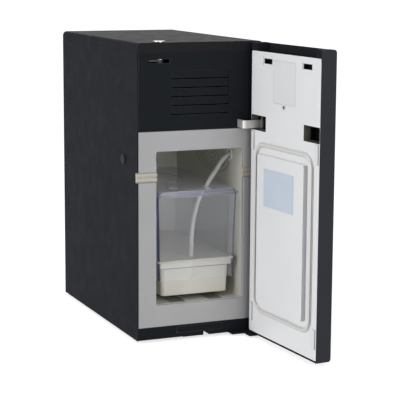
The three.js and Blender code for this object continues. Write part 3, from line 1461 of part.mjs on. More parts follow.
// Door liner: white plate with the insulating block and all its openings
const strikes = [
  ["strike_pocket_lock_side", STRIKE_LOCK_SIDE_X],
  ["strike_pocket_hinge_side", STRIKE_HINGE_SIDE_X],
];
const cupRight = HALF - HINGE_CUP_EDGE;
const cups = [
  ["hinge_pocket_cup", cupRight - HINGE_CUP_WIDTH, cupRight],
  ["spare_hinge_pocket_cup", -cupRight, HINGE_CUP_WIDTH - cupRight],
];
const hatchLeft = HATCH_X - HATCH_WIDTH / 2;
const hatchRight = HATCH_X + HATCH_WIDTH / 2;
const hatchTop = HATCH_BOTTOM + HATCH_HEIGHT;
const tabLeft = HATCH_X - HATCH_TAB_WIDTH / 2;
const tabRight = HATCH_X + HATCH_TAB_WIDTH / 2;
const tabBottom = HATCH_BOTTOM - HATCH_TAB_DROP;
const hatchScrewZ = tabBottom + HATCH_TAB_WIDTH / 2;
function hatchShape(grow) {
  return [
    rectangle(hatchLeft - grow, hatchRight + grow, HATCH_BOTTOM - grow, hatchTop + grow, HATCH_CORNER + grow),
    rectangle(tabLeft - grow, tabRight + grow, tabBottom - grow, hatchTop, HATCH_CORNER + grow),
  ];
}
const hatchBack = DOOR_IN - HATCH_THICK;
const cupGrow = CUP_WALL + GAP;
const cupTop = HINGE_CUP_BOTTOM + HINGE_CUP_HEIGHT;
const strikeTop = STRIKE_BOTTOM + STRIKE_HEIGHT;
const strikeHalf = STRIKE_WIDTH / 2;
const plateFront = DOOR_IN + CUT;
const plateRear = PLATE_BACK - CUT;
const blockShape = rectangle(-BLOCK_HALF, BLOCK_HALF, BLOCK_BOTTOM, BLOCK_TOP, BLOCK_CORNER);
addToDoor(
  "door_liner",
  carve(
    join(
      pushY(rectangle(-PLATE_HALF, PLATE_HALF, PLATE_BOTTOM, PLATE_TOP, PLATE_CORNER), PLATE_BACK, DOOR_IN),
      bevelY(blockShape, PLATE_BACK, BLOCK_FACE, BLOCK_BEVEL, CORNER_STEPS),
    ),
    box(
      PLATE_THICK + BLOCK_BEVEL - BLOCK_HALF,
      BLOCK_HALF - PLATE_THICK - BLOCK_BEVEL,
      plateRear,
      BLOCK_FACE - PLATE_THICK,
      BLOCK_BOTTOM + PLATE_THICK + BLOCK_BEVEL,
      BLOCK_TOP - PLATE_THICK - BLOCK_BEVEL,
    ),
    ...strikes.map(([, x]) =>
      box(
        x - strikeHalf - cupGrow,
        x + strikeHalf + cupGrow,
        plateRear,
        plateFront,
        STRIKE_BOTTOM - cupGrow,
        strikeTop + cupGrow,
      ),
    ),
    ...cups.map(([, x0, x1]) =>
      box(x0 - cupGrow, x1 + cupGrow, plateRear, plateFront, HINGE_CUP_BOTTOM - cupGrow, cupTop + cupGrow),
    ),
    ...hatchShape(GAP).map((shape) => pushY(shape, hatchBack - GAP, plateFront)),
    pushY(
      rectangle(
        hatchLeft + HATCH_LEDGE,
        hatchRight - HATCH_LEDGE,
        HATCH_BOTTOM + HATCH_LEDGE,
        hatchTop - HATCH_LEDGE,
        HATCH_CORNER,
      ),
      plateRear,
      plateFront,
    ),
    rodY(HATCH_X, hatchScrewZ, HATCH_SCREW_SHANK + GAP, plateRear, plateFront),
  ),
  DOOR_WHITE,
);

// Hatch over the display board, with its screw
addToDoor(
  "hatch_cover",
  carve(
    join(...hatchShape(0).map((shape) => pushY(shape, hatchBack, DOOR_IN))),
    rodY(HATCH_X, hatchScrewZ, HATCH_SCREW_SHANK + GAP, hatchBack - CUT, plateFront),
  ),
  DOOR_WHITE,
);
const screwFace = DOOR_IN + GAP;
addToDoor(
  "hatch_screw",
  join(
    rodY(HATCH_X, hatchScrewZ, HATCH_SCREW_RADIUS, screwFace, screwFace + HATCH_SCREW_HEAD),
    rodY(HATCH_X, hatchScrewZ, HATCH_SCREW_SHANK, screwFace - HATCH_SCREW_LENGTH, screwFace),
  ),
  STEEL,
);
const boardFront = DOOR_IN - BOARD_DEPTH;
const boardBack = boardFront - BOARD_THICK;
const boardX = HATCH_WIDTH / 2 - HATCH_LEDGE - BOARD_MARGIN;
const boardBottom = HATCH_BOTTOM + HATCH_LEDGE + BOARD_MARGIN;
const boardTop = hatchTop - HATCH_LEDGE - BOARD_MARGIN;
const posts = [];
for (const x of [HATCH_X - boardX + BOARD_MARGIN, HATCH_X + boardX - BOARD_MARGIN]) {
  for (const z of [boardBottom + BOARD_MARGIN, boardTop - BOARD_MARGIN]) {
    posts.push(rodY(x, z, BOARD_POST, SHELL_FRONT_INNER + GAP, boardFront));
  }
}
addToDoor(
  "display_board",
  join(box(HATCH_X - boardX, HATCH_X + boardX, boardBack, boardFront, boardBottom, boardTop), ...posts),
  BOARD_GREEN,
);

// Strike pockets for the lock cam, one for each way the door can be hung
for (const [name, x] of strikes) {
  addToDoor(
    name,
    carve(
      box(
        x - strikeHalf - CUP_WALL,
        x + strikeHalf + CUP_WALL,
        DOOR_IN - STRIKE_DEPTH,
        DOOR_IN,
        STRIKE_BOTTOM - CUP_WALL,
        strikeTop + CUP_WALL,
      ),
      box(
        x - strikeHalf,
        x + strikeHalf,
        DOOR_IN - STRIKE_DEPTH + CUP_WALL,
        plateFront,
        STRIKE_BOTTOM,
        strikeTop,
      ),
    ),
    PLASTIC_BLACK,
  );
}

// Hinge pockets, the used one with the pin through its floor and roof
for (const [name, x0, x1] of cups) {
  addToDoor(
    name,
    carve(
      box(
        x0 - CUP_WALL,
        x1 + CUP_WALL,
        DOOR_IN - HINGE_CUP_DEPTH,
        DOOR_IN,
        HINGE_CUP_BOTTOM - CUP_WALL,
        cupTop + CUP_WALL,
      ),
      box(x0, x1, DOOR_IN - HINGE_CUP_DEPTH + CUP_WALL, plateFront, HINGE_CUP_BOTTOM, cupTop),
      rodZ(AXIS_X, AXIS_Y, UPPER_PIN_RADIUS + GAP, HINGE_CUP_BOTTOM - CUT - CUP_WALL, cupTop + CUP_WALL + CUT),
    ),
    PLASTIC_BLACK,
  );
}
addToDoor(
  "upper_hinge_pin",
  rodZ(AXIS_X, AXIS_Y, UPPER_PIN_RADIUS, HINGE_CUP_BOTTOM - CUP_WALL, cupTop + CUP_WALL),
  STEEL,
);

// Magnet covers in the four corners of the gasket
const magnetX = HALF - MAGNET_EDGE;
for (const [name, x0, z0] of [
  ["magnet_upper_hinge_side", magnetX - MAGNET_WIDTH, MAGNET_HIGH],
  ["magnet_lower_hinge_side", magnetX - MAGNET_WIDTH, MAGNET_LOW],
  ["magnet_upper_lock_side", -magnetX, MAGNET_HIGH],
  ["magnet_lower_lock_side", -magnetX, MAGNET_LOW],
]) {
  addToDoor(
    name,
    box(x0, x0 + MAGNET_WIDTH, screwFace, screwFace + MAGNET_THICK, z0, z0 + MAGNET_HEIGHT),
    DOOR_WHITE,
  );
}

// Gasket ring and label plate
const gasketHalf = MOUTH_HALF + GASKET_OUTSIDE;
const gasketBottom = MOUTH_BOTTOM - GASKET_OUTSIDE;
const gasketTop = MOUTH_TOP + GASKET_OUTSIDE;
const gasketShape = rectangle(-gasketHalf, gasketHalf, gasketBottom, gasketTop, GASKET_CORNER);
gasketShape.holes.push(
  rectangle(
    GASKET_BAND - gasketHalf,
    gasketHalf - GASKET_BAND,
    gasketBottom + GASKET_BAND,
    gasketTop - GASKET_BAND,
    GASKET_CORNER - GASKET_BAND,
  ),
);
addToDoor("door_gasket", bevelY(gasketShape, screwFace, -GAP, GASKET_BEVEL, GASKET_STEPS), GASKET_GREY);
const labelFace = BLOCK_FACE + GAP;
addToDoor(
  "label_plate",
  box(
    LABEL_X - LABEL_WIDTH / 2,
    LABEL_X + LABEL_WIDTH / 2,
    labelFace,
    labelFace + LABEL_THICK,
    LABEL_Z - LABEL_HEIGHT / 2,
    LABEL_Z + LABEL_HEIGHT / 2,
  ),
  LABEL_BLUE,
);

// Door foam below the hinge pockets, with the bush for the lower pin
const foamBottom = PLATE_BOTTOM;
const bushRadius = LOWER_PIN_RADIUS + GAP + BUSH_WALL;
addToDoor(
  "door_foam",
  carve(
    box(
      GAP - innerHalf,
      innerHalf - GAP,
      SHELL_FRONT_INNER + GAP,
      plateSpace,
      foamBottom,
      HINGE_CUP_BOTTOM - CUP_WALL - DOOR_FOAM_GAP,
    ),
    rodZ(AXIS_X, AXIS_Y, bushRadius + GAP, foamBottom - CUT, foamBottom + BUSH_HEIGHT + GAP),
  ),
  FOAM,
);
addToDoor(
  "lower_hinge_bush",
  carve(
    rodZ(AXIS_X, AXIS_Y, bushRadius, foamBottom, foamBottom + BUSH_HEIGHT),
    rodZ(AXIS_X, AXIS_Y, LOWER_PIN_RADIUS + GAP, foamBottom - CUT, foamBottom + BUSH_HEIGHT + CUT),
  ),
  PLASTIC_BLACK,
);

export default milkCooler;
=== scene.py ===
"""A countertop milk cooler with its door open: looks, rounded pieces, light and camera round the CAD frame.

Sizes are in millimetres in the cabinet's own frame, where Y is 0 at the front face and Z is 0 at the skirt,
and place() turns them into metres in the row's frame. The door's pieces are written closed and turned open.
"""

import json
import math

import bmesh
import bpy
from mathutils import Matrix, Vector

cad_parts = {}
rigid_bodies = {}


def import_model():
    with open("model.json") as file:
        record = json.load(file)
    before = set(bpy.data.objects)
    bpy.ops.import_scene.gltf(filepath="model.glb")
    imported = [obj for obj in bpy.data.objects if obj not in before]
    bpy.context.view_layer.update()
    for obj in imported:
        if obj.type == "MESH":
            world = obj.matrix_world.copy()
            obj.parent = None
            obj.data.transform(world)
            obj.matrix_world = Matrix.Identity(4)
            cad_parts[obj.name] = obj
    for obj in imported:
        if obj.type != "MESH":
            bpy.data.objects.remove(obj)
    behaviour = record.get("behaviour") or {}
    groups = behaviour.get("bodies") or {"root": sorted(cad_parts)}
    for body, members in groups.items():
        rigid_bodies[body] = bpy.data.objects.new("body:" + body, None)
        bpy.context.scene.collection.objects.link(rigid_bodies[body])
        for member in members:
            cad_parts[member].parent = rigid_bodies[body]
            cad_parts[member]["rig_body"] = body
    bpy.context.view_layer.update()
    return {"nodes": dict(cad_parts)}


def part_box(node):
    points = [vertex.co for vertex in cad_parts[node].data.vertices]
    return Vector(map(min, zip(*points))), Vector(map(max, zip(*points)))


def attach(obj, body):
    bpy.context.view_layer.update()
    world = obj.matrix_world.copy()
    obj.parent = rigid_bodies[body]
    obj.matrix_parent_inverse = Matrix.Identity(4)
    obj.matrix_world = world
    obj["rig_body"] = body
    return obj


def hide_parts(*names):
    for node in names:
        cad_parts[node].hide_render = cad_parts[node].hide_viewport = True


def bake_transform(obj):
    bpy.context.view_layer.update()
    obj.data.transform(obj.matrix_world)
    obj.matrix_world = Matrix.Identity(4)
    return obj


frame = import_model()
NODES = frame["nodes"]

# The cabinet's frame in the row's frame, and the open door's hinge axis
MM = 0.001
FRONT_SETBACK = 76
SKIRT_LIFT = 5
HINGE_X = 105.3
HINGE_Y = -21.5
DOOR_OPEN = 93.2

# Camera: the photograph's viewpoint, and the clipping ends in metres
CAMERA_PLACE = (-956.27, -2228.27, 648.51)
CAMERA_RIGHT = (0.91944, -0.39319, 0.00571)
CAMERA_UP = (0.06039, 0.15552, 0.98598)
CAMERA_FORWARD = (0.38857, 0.90621, -0.16674)
SENSOR = 36.0
LENS = 129.345
CLIP_ENDS = (0.05, 60)

# Rounding and smoothing, and how far off a level a point may lie
WELD = 0.002
FLAT_ANGLE = 1.0
SHARP_ANGLE = 35.0
SMOOTH_ANGLE = 40.0
ROUND_STEPS = 3
FACING_SHARE = 0.7
LEVEL_PLAY = 0.1
SPLINE_STEPS = 40

# Looks: the middle range of the noise, and the colour white
NOISE_SHARES = (0.3, 0.7)
WHITE = (1, 1, 1, 1)

# Milk hose
HOSE_DIAMETER = 8.0
HOSE_BORE = 5.2
HOSE_RINGS = 140
HOSE_SIDES = 28
HOSE_ROUTE = [
    (92.1, 57.5, 306.5),
    (78.4, 57.5, 305.9),
    (67.0, 56.0, 298.5),
    (54.0, 53.5, 283.0),
    (42.0, 51.5, 268.0),
    (33.0, 50.0, 255.5),
    (23.1, 48.5, 243.0),
    (14.5, 46.5, 227.0),
    (8.8, 46.0, 208.0),
    (4.7, 45.5, 188.0),
    (2.5, 45.0, 168.0),
    (1.9, 45.0, 150.0),
    (1.6, 45.0, 131.6),
]

# Upper front panel: plate, lock slot, strap slot, groove and hooded louvres
PANEL_HALF = 113.2
PANEL_BOTTOM = 359.6
PANEL_TOP = 492.7
PANEL_DEPTH = 3.0
PANEL_EDGE = 0.4
LOCK_SLOT = (-98.5, -57.2, 474.0, 480.0)
STRAP_PLAY = 0.3
STRAP_THICK = 3.0
LOUVRE_LEFT = -54.3
LOUVRE_RIGHT = 52.7
LOUVRE_FIRST = 387.8
LOUVRE_PITCH = 14.95
LOUVRE_COUNT = 5
LOUVRE_SLOT = 3.2
GROOVE_HALF = 0.9
GROOVE_DEPTH = 2.0
HOOD_RISE = 12.6
HOOD_DROP = 1.3
HOOD_PROUD = 1.8
HOOD_ROOT = 0.6
HOOD_TAPER = 5.5
HOOD_TAPER_STEPS = 6
HOOD_PROFILE_SHARES = [(0.0, 1.0), (0.28, 0.72), (0.62, 0.38), (0.9, 0.14), (1.0, 0.07), (0.94, 0.0)]

# Vents in the back panel and the hoods over them
CABINET_DEPTH = 400.0
VENT_HALF = 60.8
VENT_FIRST = 396.0
VENT_PITCH = 11.0
VENT_COUNT = 7
VENT_LAP = 1.5
VENT_PROUD = 5.0
VENT_SHEET = 0.8
VENT_HOOD_RISE = 8.6

# Milk vessel: the heights between which its floor lies, how far its corners are turned, and its lower edge
VESSEL_EDGE = 0.7
VESSEL_FLOOR = (128.4, 132.2)
VESSEL_TURN_SHARES = (0.7, 0.985)
VESSEL_FOOT = 98.4

# Base box: the line of shade under its rim
BOX_EDGE = 0.8
BOX_LINE = (116.9, 119.0)

# Lid: how upright its sides are, and the painted dark line along their top
LID_EDGE = 0.9
LID_SIDE_SHARE = 0.6
LID_LINE_SHARE = 0.95
LID_LINE = 1.3
LID_RIM = 3.0

# Upper hinge strap: how far the painted shade on its eye reaches round the pin
STRAP_EDGE = 0.7
EYE_REACH = 7.0

# Cavity liner: the ringed wall and the floor between its grooves
LINER_EDGE = 0.25
RINGED_WALL = 80.2
RING_Y = 132.0
RING_Z = 295.0
RING_REACH_Y = 78.0
RING_REACH_Z = 32.0
RING_RISE = 1.0
CAVITY_FLOOR = 60.6

# Top cover: the height of its lower edge, and how upright its sides are
COVER_EDGE = 1.0
COVER_FOOT = 494.2
COVER_SIDE_SHARE = 0.5

# Door's inner face, and its sheet tray with the finger trough
DOOR_FACE = -4.5
DOOR_EDGE = 1.0
TRAY_HALF = 113.5
TRAY_TOP = 505.7
TRAY_EDGE = 5.0
TRAY_RAISED = 1.2
TROUGH_BACK = -28.9
TROUGH_FLOOR = 488.0
TROUGH_PLAY = 0.3
TROUGH_ENDS = {"trough_end_lock_side": (-113.2, -97.5), "trough_end_hinge_side": (97.5, 113.2)}
TROUGH_END_EDGE = 0.7

# Door liner: its plate, and how much squarer the corners are than in the solid
PLATE_HALF = 113.2
PLATE_LOW = 3.9
PLATE_TOP = 492.9
PLATE_REAR = -6.8
PLATE_ROUND = 6.0
PLATE_SQUARE_SHARE = 0.75
LINER_RISE = 1.9
DOOR_LINER_EDGE = 0.8

# Hinge pocket cups: how deep light reaches
CUP_LIT_DEPTH = 11.5
CUP_FADE = 1.5
CUP_DARK = (16, 16, 17)

# Door gasket: its path round the block, and its section as steps across and up
GASKET_HALF = 97.0
GASKET_BOTTOM = 43.8
GASKET_TOP = 341.2
GASKET_CORNER = 28.0
GASKET_CORNER_STEPS = 10
GASKET_STAND = 0.3
GASKET_SHADE_SHARES = (0.62, 1.0)
GASKET_SHADE = (132, 127, 123)
GASKET_PROFILE = [
    (0.0, 0.0),
    (0.0, 0.9),
    (0.3, 1.2),
    (0.9, 1.2),
    (1.2, 0.3),
    (1.7, 0.3),
    (1.8, 1.6),
    (2.2, 2.7),
    (3.1, 3.6),
    (4.5, 3.9),
    (5.9, 3.6),
    (6.8, 2.7),
    (7.2, 1.6),
    (7.3, 0.3),
    (7.8, 0.3),
    (8.1, 1.2),
    (8.7, 1.2),
    (9.0, 0.9),
    (9.0, 0.0),
]

# Strike pockets: their cups and the rims that slope in
STRIKE_CENTRES = {"strike_pocket_lock_side": -71.2, "strike_pocket_hinge_side": 57.7}
STRIKE_HALF = 13.0
STRIKE_BOTTOM = 473.3
STRIKE_TOP = 482.2
STRIKE_DEPTH = 10.0
STRIKE_WALL = 0.8
RIM_OUT = 3.2
RIM_PROUD = 0.2
RIM_SINK = 1.2
RIM_SHEET = 0.4
RIM_FACING_SHARE = 0.15

# Stage and light, in metres and watts
FLOOR_SIZE = 60.0
FLOOR_COLOUR = 0.8
FLOOR_ROUGHNESS = 0.9
GLOW_NEAR = 0.7
GLOW_FAR = 0.85
GLOW_FAR_DISTANCE = 4.0
SKY = 0.28
LAMP_TARGET = (0.02, 0.0, 0.25)
LAMPS = [
    ("left_softbox", (-3.3, -0.55, 0.9), 2.0, 71),
    ("front_softbox", (0.4, -3.6, 0.7), 2.2, 62),
    ("top_softbox", (0.0, 0.6, 2.8), 1.6, 12),
]

# Frames of the cabinet and of the open door, and the ways to the door's lock side and out of its inner face
CABINET = Matrix.Scale(MM, 4) @ Matrix.Translation((0, -FRONT_SETBACK, SKIRT_LIFT))
HINGE = Matrix.Translation((HINGE_X, HINGE_Y, 0))
DOOR = CABINET @ HINGE @ Matrix.Rotation(math.radians(DOOR_OPEN), 4, "Z") @ HINGE.inverted()
LOCK_WAY = (DOOR.to_3x3() @ Vector((-1, 0, 0))).normalized()
DOOR_AXIS = (DOOR.to_3x3() @ Vector((0, 1, 0))).normalized()


def place(x, y, z):
    return CABINET @ Vector((x, y, z))


def level(z):
    """A height of the cabinet's frame in the row's."""
    return place(0, 0, z).z


# Camera
def make_camera():
    data = bpy.data.cameras.new("photo_camera")
    data.lens = LENS
    data.sensor_width = SENSOR
    data.clip_start, data.clip_end = CLIP_ENDS
    camera = new_object("photo_camera", data)
    axes = Matrix((CAMERA_RIGHT, CAMERA_UP, [-c for c in CAMERA_FORWARD])).transposed()
    camera.matrix_world = Matrix.Translation(place(*CAMERA_PLACE)) @ axes.to_4x4()
    bpy.context.scene.camera = camera


# Meshes
def new_object(name, data):
    made = bpy.data.objects.new(name, data)
    bpy.context.scene.collection.objects.link(made)
    return made


def shade(mesh):
    """Smooth shading that breaks at the sharp edges which are left."""
    mesh.polygons.foreach_set("use_smooth", [True] * len(mesh.polygons))
    mesh.set_sharp_from_angle(angle=math.radians(SMOOTH_ANGLE))


def weigh_normals(piece):
    """Large flat faces stay flat beside their rounded edges."""
    weighted = piece.modifiers.new("flat_faces", "WEIGHTED_NORMAL")
    weighted.keep_sharp = True


def round_edges(shape, radius):
    """Rounds every sharp edge, and gives the new faces the second material."""
    least = math.radians(SHARP_ANGLE)
    sharp = [edge for edge in shape.edges if edge.is_manifold and edge.calc_face_angle() > least]
    bmesh.ops.bevel(
        shape,
        geom=sharp,
        offset=radius * MM,
        offset_type="OFFSET",
        segments=ROUND_STEPS,
        profile=0.5,
        affect="EDGES",
        clamp_overlap=True,
        material=1,
    )


def finished(shape, name, look, body, replaced=()):
    """The piece made of a bmesh, with its look, its shading and its body."""
    mesh = bpy.data.meshes.new(name)
    shape.to_mesh(mesh)
    shape.free()
    mesh.materials.append(MATERIALS[look])
    mesh.materials.append(MATERIALS[EDGE_LOOKS.get(look, look)])
    shade(mesh)
    made = new_object(name, mesh)
    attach(made, body)
    if replaced:
        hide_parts(*replaced)
    weigh_normals(made)
    return made


def soften(node, look, radius, facing=None, reshape=None):
    """Replaces a CAD node by a copy whose sharp edges are rounded.

    Where an axis is given, the faces across it keep the look, and the rest get the edges' look.
    A reshape function moves the copy's points before its edges are rounded.
    """
    source = NODES[node]
    shape = bmesh.new()
    shape.from_mesh(source.data)
    bmesh.ops.remove_doubles(shape, verts=shape.verts, dist=WELD * MM)
    bmesh.ops.dissolve_limit(
        shape,
        angle_limit=math.radians(FLAT_ANGLE),
        verts=shape.verts[:],
        edges=shape.edges[:],
    )
    if reshape:
        reshape(shape)
    for face in shape.faces:
        face.material_index = 0
    round_edges(shape, radius)
    if facing:
        shape.normal_update()
        for face in shape.faces:
            face.material_index = int(abs(face.normal.dot(facing)) < FACING_SHARE)
    return finished(shape, node + "_form", look, source["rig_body"], [node])


def pierced_plate(x_ends, z_ends, holes, y, depth, matrix):
    """A bmesh of a flat sheet with square-cut openings."""
    columns = sorted({*x_ends, *(x for hole in holes for x in hole[:2])})
    rows = sorted({*z_ends, *(z for hole in holes for z in hole[2:])})
    shape = bmesh.new()
    corners = {(x, z): shape.verts.new(matrix @ Vector((x, y, z))) for x in columns for z in rows}
    for left, right in zip(columns, columns[1:]):
        for low, high in zip(rows, rows[1:]):
            x = (left + right) / 2
            z = (low + high) / 2
            if any(h[0] < x < h[1] and h[2] < z < h[3] for h in holes):
                continue
            loop = [(left, low), (right, low), (right, high), (left, high)]
            shape.faces.new([corners[c] for c in loop])
    bmesh.ops.delete(shape, geom=[v for v in shape.verts if not v.link_faces], context="VERTS")
    pushed = bmesh.ops.extrude_face_region(shape, geom=shape.faces[:], use_keep_orig=True)
    inwards = matrix.to_3x3() @ Vector((0, depth, 0))
    moved = [v for v in pushed["geom"] if isinstance(v, bmesh.types.BMVert)]
    bmesh.ops.translate(shape, vec=inwards, verts=moved)
    bmesh.ops.recalc_face_normals(shape, faces=shape.faces)
    return shape


def catmull_rom(points, count):
    """A centripetal spline through the points, sampled evenly along its length."""
    points = [Vector(p) for p in points]
    first = 2 * points[0] - points[1]
    last = 2 * points[-1] - points[-2]
    chain = [first, *points, last]
    dense = []
    for a, b, c, d in zip(chain, chain[1:], chain[2:], chain[3:]):
        t1 = (b - a).length ** 0.5
        t2 = t1 + (c - b).length ** 0.5
        t3 = t2 + (d - c).length ** 0.5
        for i in range(SPLINE_STEPS):
            t = t1 + (t2 - t1) * i / SPLINE_STEPS
            p = a.lerp(b, t / t1)
            q = b.lerp(c, (t - t1) / (t2 - t1))
            r = c.lerp(d, (t - t2) / (t3 - t2))
            early = p.lerp(q, t / t2)
            late = q.lerp(r, (t - t1) / (t3 - t1))
            dense.append(early.lerp(late, (t - t1) / (t2 - t1)))
    dense.append(points[-1])
    lengths = [0.0]
    for a, b in zip(dense, dense[1:]):
        lengths.append(lengths[-1] + (b - a).length)
    sampled = []
    j = 0
    for i in range(count):
        want = lengths[-1] * i / (count - 1)
        while j < len(dense) - 2 and lengths[j + 1] < want:
            j += 1
        share = (want - lengths[j]) / (lengths[j + 1] - lengths[j])
        sampled.append(dense[j].lerp(dense[j + 1], share))
    return sampled


def grid_shape(rows, matrix, close_rows=False, close_columns=False, cap_ends=False):
    """A bmesh of quads through rows of points, closed round either way or capped at its ends."""
    shape = bmesh.new()
    made = [[shape.verts.new(matrix @ Vector(p)) for p in row] for row in rows]
    row_pairs = list(zip(made, made[1:] + made[:1]))
    if not close_rows:
        row_pairs.pop()
    for lower, upper in row_pairs:
        columns = list(range(len(lower)))
        if not close_columns:
            columns.pop()
        for i in columns:
            j = (i + 1) % len(lower)
            shape.faces.new((lower[i], lower[j], upper[j], upper[i]))
    if cap_ends:
        shape.faces.new(made[0])
        shape.faces.new(made[-1])
    bmesh.ops.recalc_face_normals(shape, faces=shape.faces)
    return shape


# Materials
def linear(colour):
    """An sRGB colour of 0 to 255 as the linear one that a shader takes."""
    shares = [c / 255 for c in colour]
    return [s / 12.92 if s <= 0.04045 else ((s + 0.055) / 1.055) ** 2.4 for s in shares]


class Finish:
    """A Principled material and the node chains that give it its detail."""

    def __init__(self, name, colour, roughness, metallic=0.0, specular=0.5):
        self.material = bpy.data.materials.new(name)
        self.material.use_nodes = True
        self.tree = self.material.node_tree
        self.shader = self.tree.nodes["Principled BSDF"]
        self.colour = linear(colour)
        self.set("Base Color", (*self.colour, 1))
        self.set("Roughness", roughness)
        self.set("Metallic", metallic)
        self.set("Specular IOR Level", specular)
        self.coordinates = self.add("ShaderNodeTexCoord")
        self.place = self.coordinates.outputs["Object"]

    def set(self, socket, value):
        self.shader.inputs[socket].default_value = value

    def add(self, kind, **inputs):
        """A new node with values for its inputs, whose names have _ for a space."""
        node = self.tree.nodes.new(kind)
        for name, value in inputs.items():
            node.inputs[name.replace("_", " ")].default_value = value
        return node

    def link(self, output, node, socket):
        self.tree.links.new(output, node.inputs[socket])

    def noise(self, size, detail=3.0, stretch=(1, 1, 1)):
        """Noise whose features are about size millimetres across."""
        scaled = self.add("ShaderNodeMapping", Scale=[s / (size * MM) for s in stretch])
        self.link(self.place, scaled, "Vector")
        noise = self.add("ShaderNodeTexNoise", Scale=1.0, Detail=detail)
        self.link(scaled.outputs["Vector"], noise, "Vector")
        return noise.outputs["Fac"]

    def spread(self, factor, low, high):
        """The factor's middle range spread from low to high."""
        least, most = NOISE_SHARES
        ranged = self.add("ShaderNodeMapRange", From_Min=least, From_Max=most, To_Min=low, To_Max=high)
        self.link(factor, ranged, "Value")
        return ranged.outputs["Result"]

    def along(self, vector, way):
        """How far a vector reaches along a fixed way."""
        reach = self.add("ShaderNodeVectorMath")
        reach.operation = "DOT_PRODUCT"
        reach.inputs[1].default_value = way
        self.link(vector, reach, 0)
        return reach.outputs["Value"]

    def colour_from(self, factor, first, last):
        """The base colour goes from the first to the last as the factor goes from 0 to 1."""
        mixed = self.add("ShaderNodeMix")
        mixed.data_type = "RGBA"
        share = next(socket for socket in mixed.inputs if socket.type == "VALUE")
        self.tree.links.new(factor, share)
        ends = [socket for socket in mixed.inputs if socket.type == "RGBA"]
        for socket, colour in zip(ends, (first, last)):
            socket.default_value = (*colour, 1)
        result = next(socket for socket in mixed.outputs if socket.type == "RGBA")
        self.link(result, self.shader, "Base Color")

    def fade(self, value, ends, first, last):
        """The base colour goes from the first to the last as the value goes from end to end."""
        ranged = self.add("ShaderNodeMapRange", From_Min=ends[0], From_Max=ends[1])
        self.link(value, ranged, "Value")
        self.colour_from(ranged.outputs["Result"], first, last)

    def let_light_through(self):
        """Light reaches what is behind the clear wall, straight and only once."""
        rays = self.add("ShaderNodeLightPath")
        either = self.add("ShaderNodeMath")
        either.operation = "MAXIMUM"
        self.link(rays.outputs["Is Shadow Ray"], either, 0)
        self.link(rays.outputs["Is Diffuse Ray"], either, 1)
        through = self.add("ShaderNodeBsdfTransparent")
        mixed = self.add("ShaderNodeMixShader")
        self.link(either.outputs[0], mixed, "Fac")
        self.link(self.shader.outputs["BSDF"], mixed, 1)
        self.link(through.outputs["BSDF"], mixed, 2)
        self.link(mixed.outputs["Shader"], self.tree.nodes["Material Output"], "Surface")

    def mottle(self, size, share, stretch=(1, 1, 1), detail=3.0):
        """The base colour varies by this share either way."""
        factor = self.spread(self.noise(size, detail, stretch), 0, 1)
        ends = [[min(1, c * tone) for c in self.colour] for tone in (1 - share, 1 + share)]
        self.colour_from(factor, *ends)
        return self

    def uneven(self, size, low, high, stretch=(1, 1, 1)):
        """Roughness from low to high in patches."""
        self.link(self.spread(self.noise(size, 4.0, stretch), low, high), self.shader, "Roughness")
        return self

    def grain(self, size, depth, stretch=(1, 1, 1), detail=2.0):
        """Fine relief, depth in millimetres."""
        bump = self.add("ShaderNodeBump", Distance=depth * MM)
        self.link(self.noise(size, detail, stretch), bump, "Height")
        self.link(bump.outputs["Normal"], self.shader, "Normal")
        return self


def case_black():
    """Fine-textured dark coating on the sheet steel."""
    finish = Finish("case_black", (28, 29, 34), 0.55, specular=0.02)
    return finish.mottle(160, 0.03).uneven(25, 0.5, 0.6).grain(0.9, 0.03).material


def cover_black_painted_light():
    """The same coating on the top cover, a little glossier, and coloured lighter than the sides: painted
    light on the top.
    """
    finish = Finish("cover_black_painted_light", (34, 34, 37), 0.46, specular=0.04)
    return finish.mottle(160, 0.04).uneven(30, 0.44, 0.56).grain(0.9, 0.03).material


def door_black():
    """Satin coat of the door's sheet tray."""
    finish = Finish("door_black", (53, 54, 59), 0.5, specular=0.05)
    return finish.mottle(120, 0.03).uneven(25, 0.45, 0.56).grain(0.9, 0.02).material


def trough_painted_shade():
    """Painted shade: the tray's inner side and finger trough, coloured darker than the outside because
    little light comes there.
    """
    finish = Finish("trough_painted_shade", (33, 34, 38), 0.55, specular=0.02)
    return finish.mottle(120, 0.04).uneven(25, 0.5, 0.6).grain(0.9, 0.02).material


def case_edge_highlight():
    """Painted highlight along the rounded edges of the coating: a lighter colour, with a smoother, glossier
    coat.
    """
    finish = Finish("case_edge_highlight", (52, 53, 57), 0.36, specular=0.4)
    return finish.mottle(12, 0.1).uneven(8, 0.3, 0.44).grain(0.9, 0.01).material


def panel_black():
    """Satin moulded plastic of the front panel and kick plate."""
    finish = Finish("panel_black", (26, 29, 33), 0.5, specular=0.04)
    return finish.mottle(90, 0.03).uneven(18, 0.46, 0.56).grain(0.6, 0.015).material


# Painted highlight along the rounded edges of the panels: a lighter colour, with a glossier finish
def panel_edge_highlight():
    finish = Finish("panel_edge_highlight", (34, 36, 40), 0.36, specular=0.3)
    return finish.mottle(12, 0.08).uneven(8, 0.3, 0.42).grain(0.6, 0.008).material


def frame_grey():
    finish = Finish("frame_grey", (167, 167, 168), 0.42, specular=0.35)
    return finish.mottle(50, 0.025).uneven(20, 0.36, 0.48).grain(0.7, 0.012).material


def liner_grey():
    finish = Finish("liner_grey", (202, 201, 192), 0.42, specular=0.35)
    return finish.mottle(60, 0.02).uneven(25, 0.36, 0.5).grain(0.8, 0.012).material


def liner_shade():
    """Painted shade in the liner's grooves and on the rings pressed into its wall."""
    finish = Finish("liner_shade", (168, 167, 159), 0.45, specular=0.3)
    return finish.mottle(60, 0.02).uneven(25, 0.4, 0.52).grain(0.8, 0.012).material


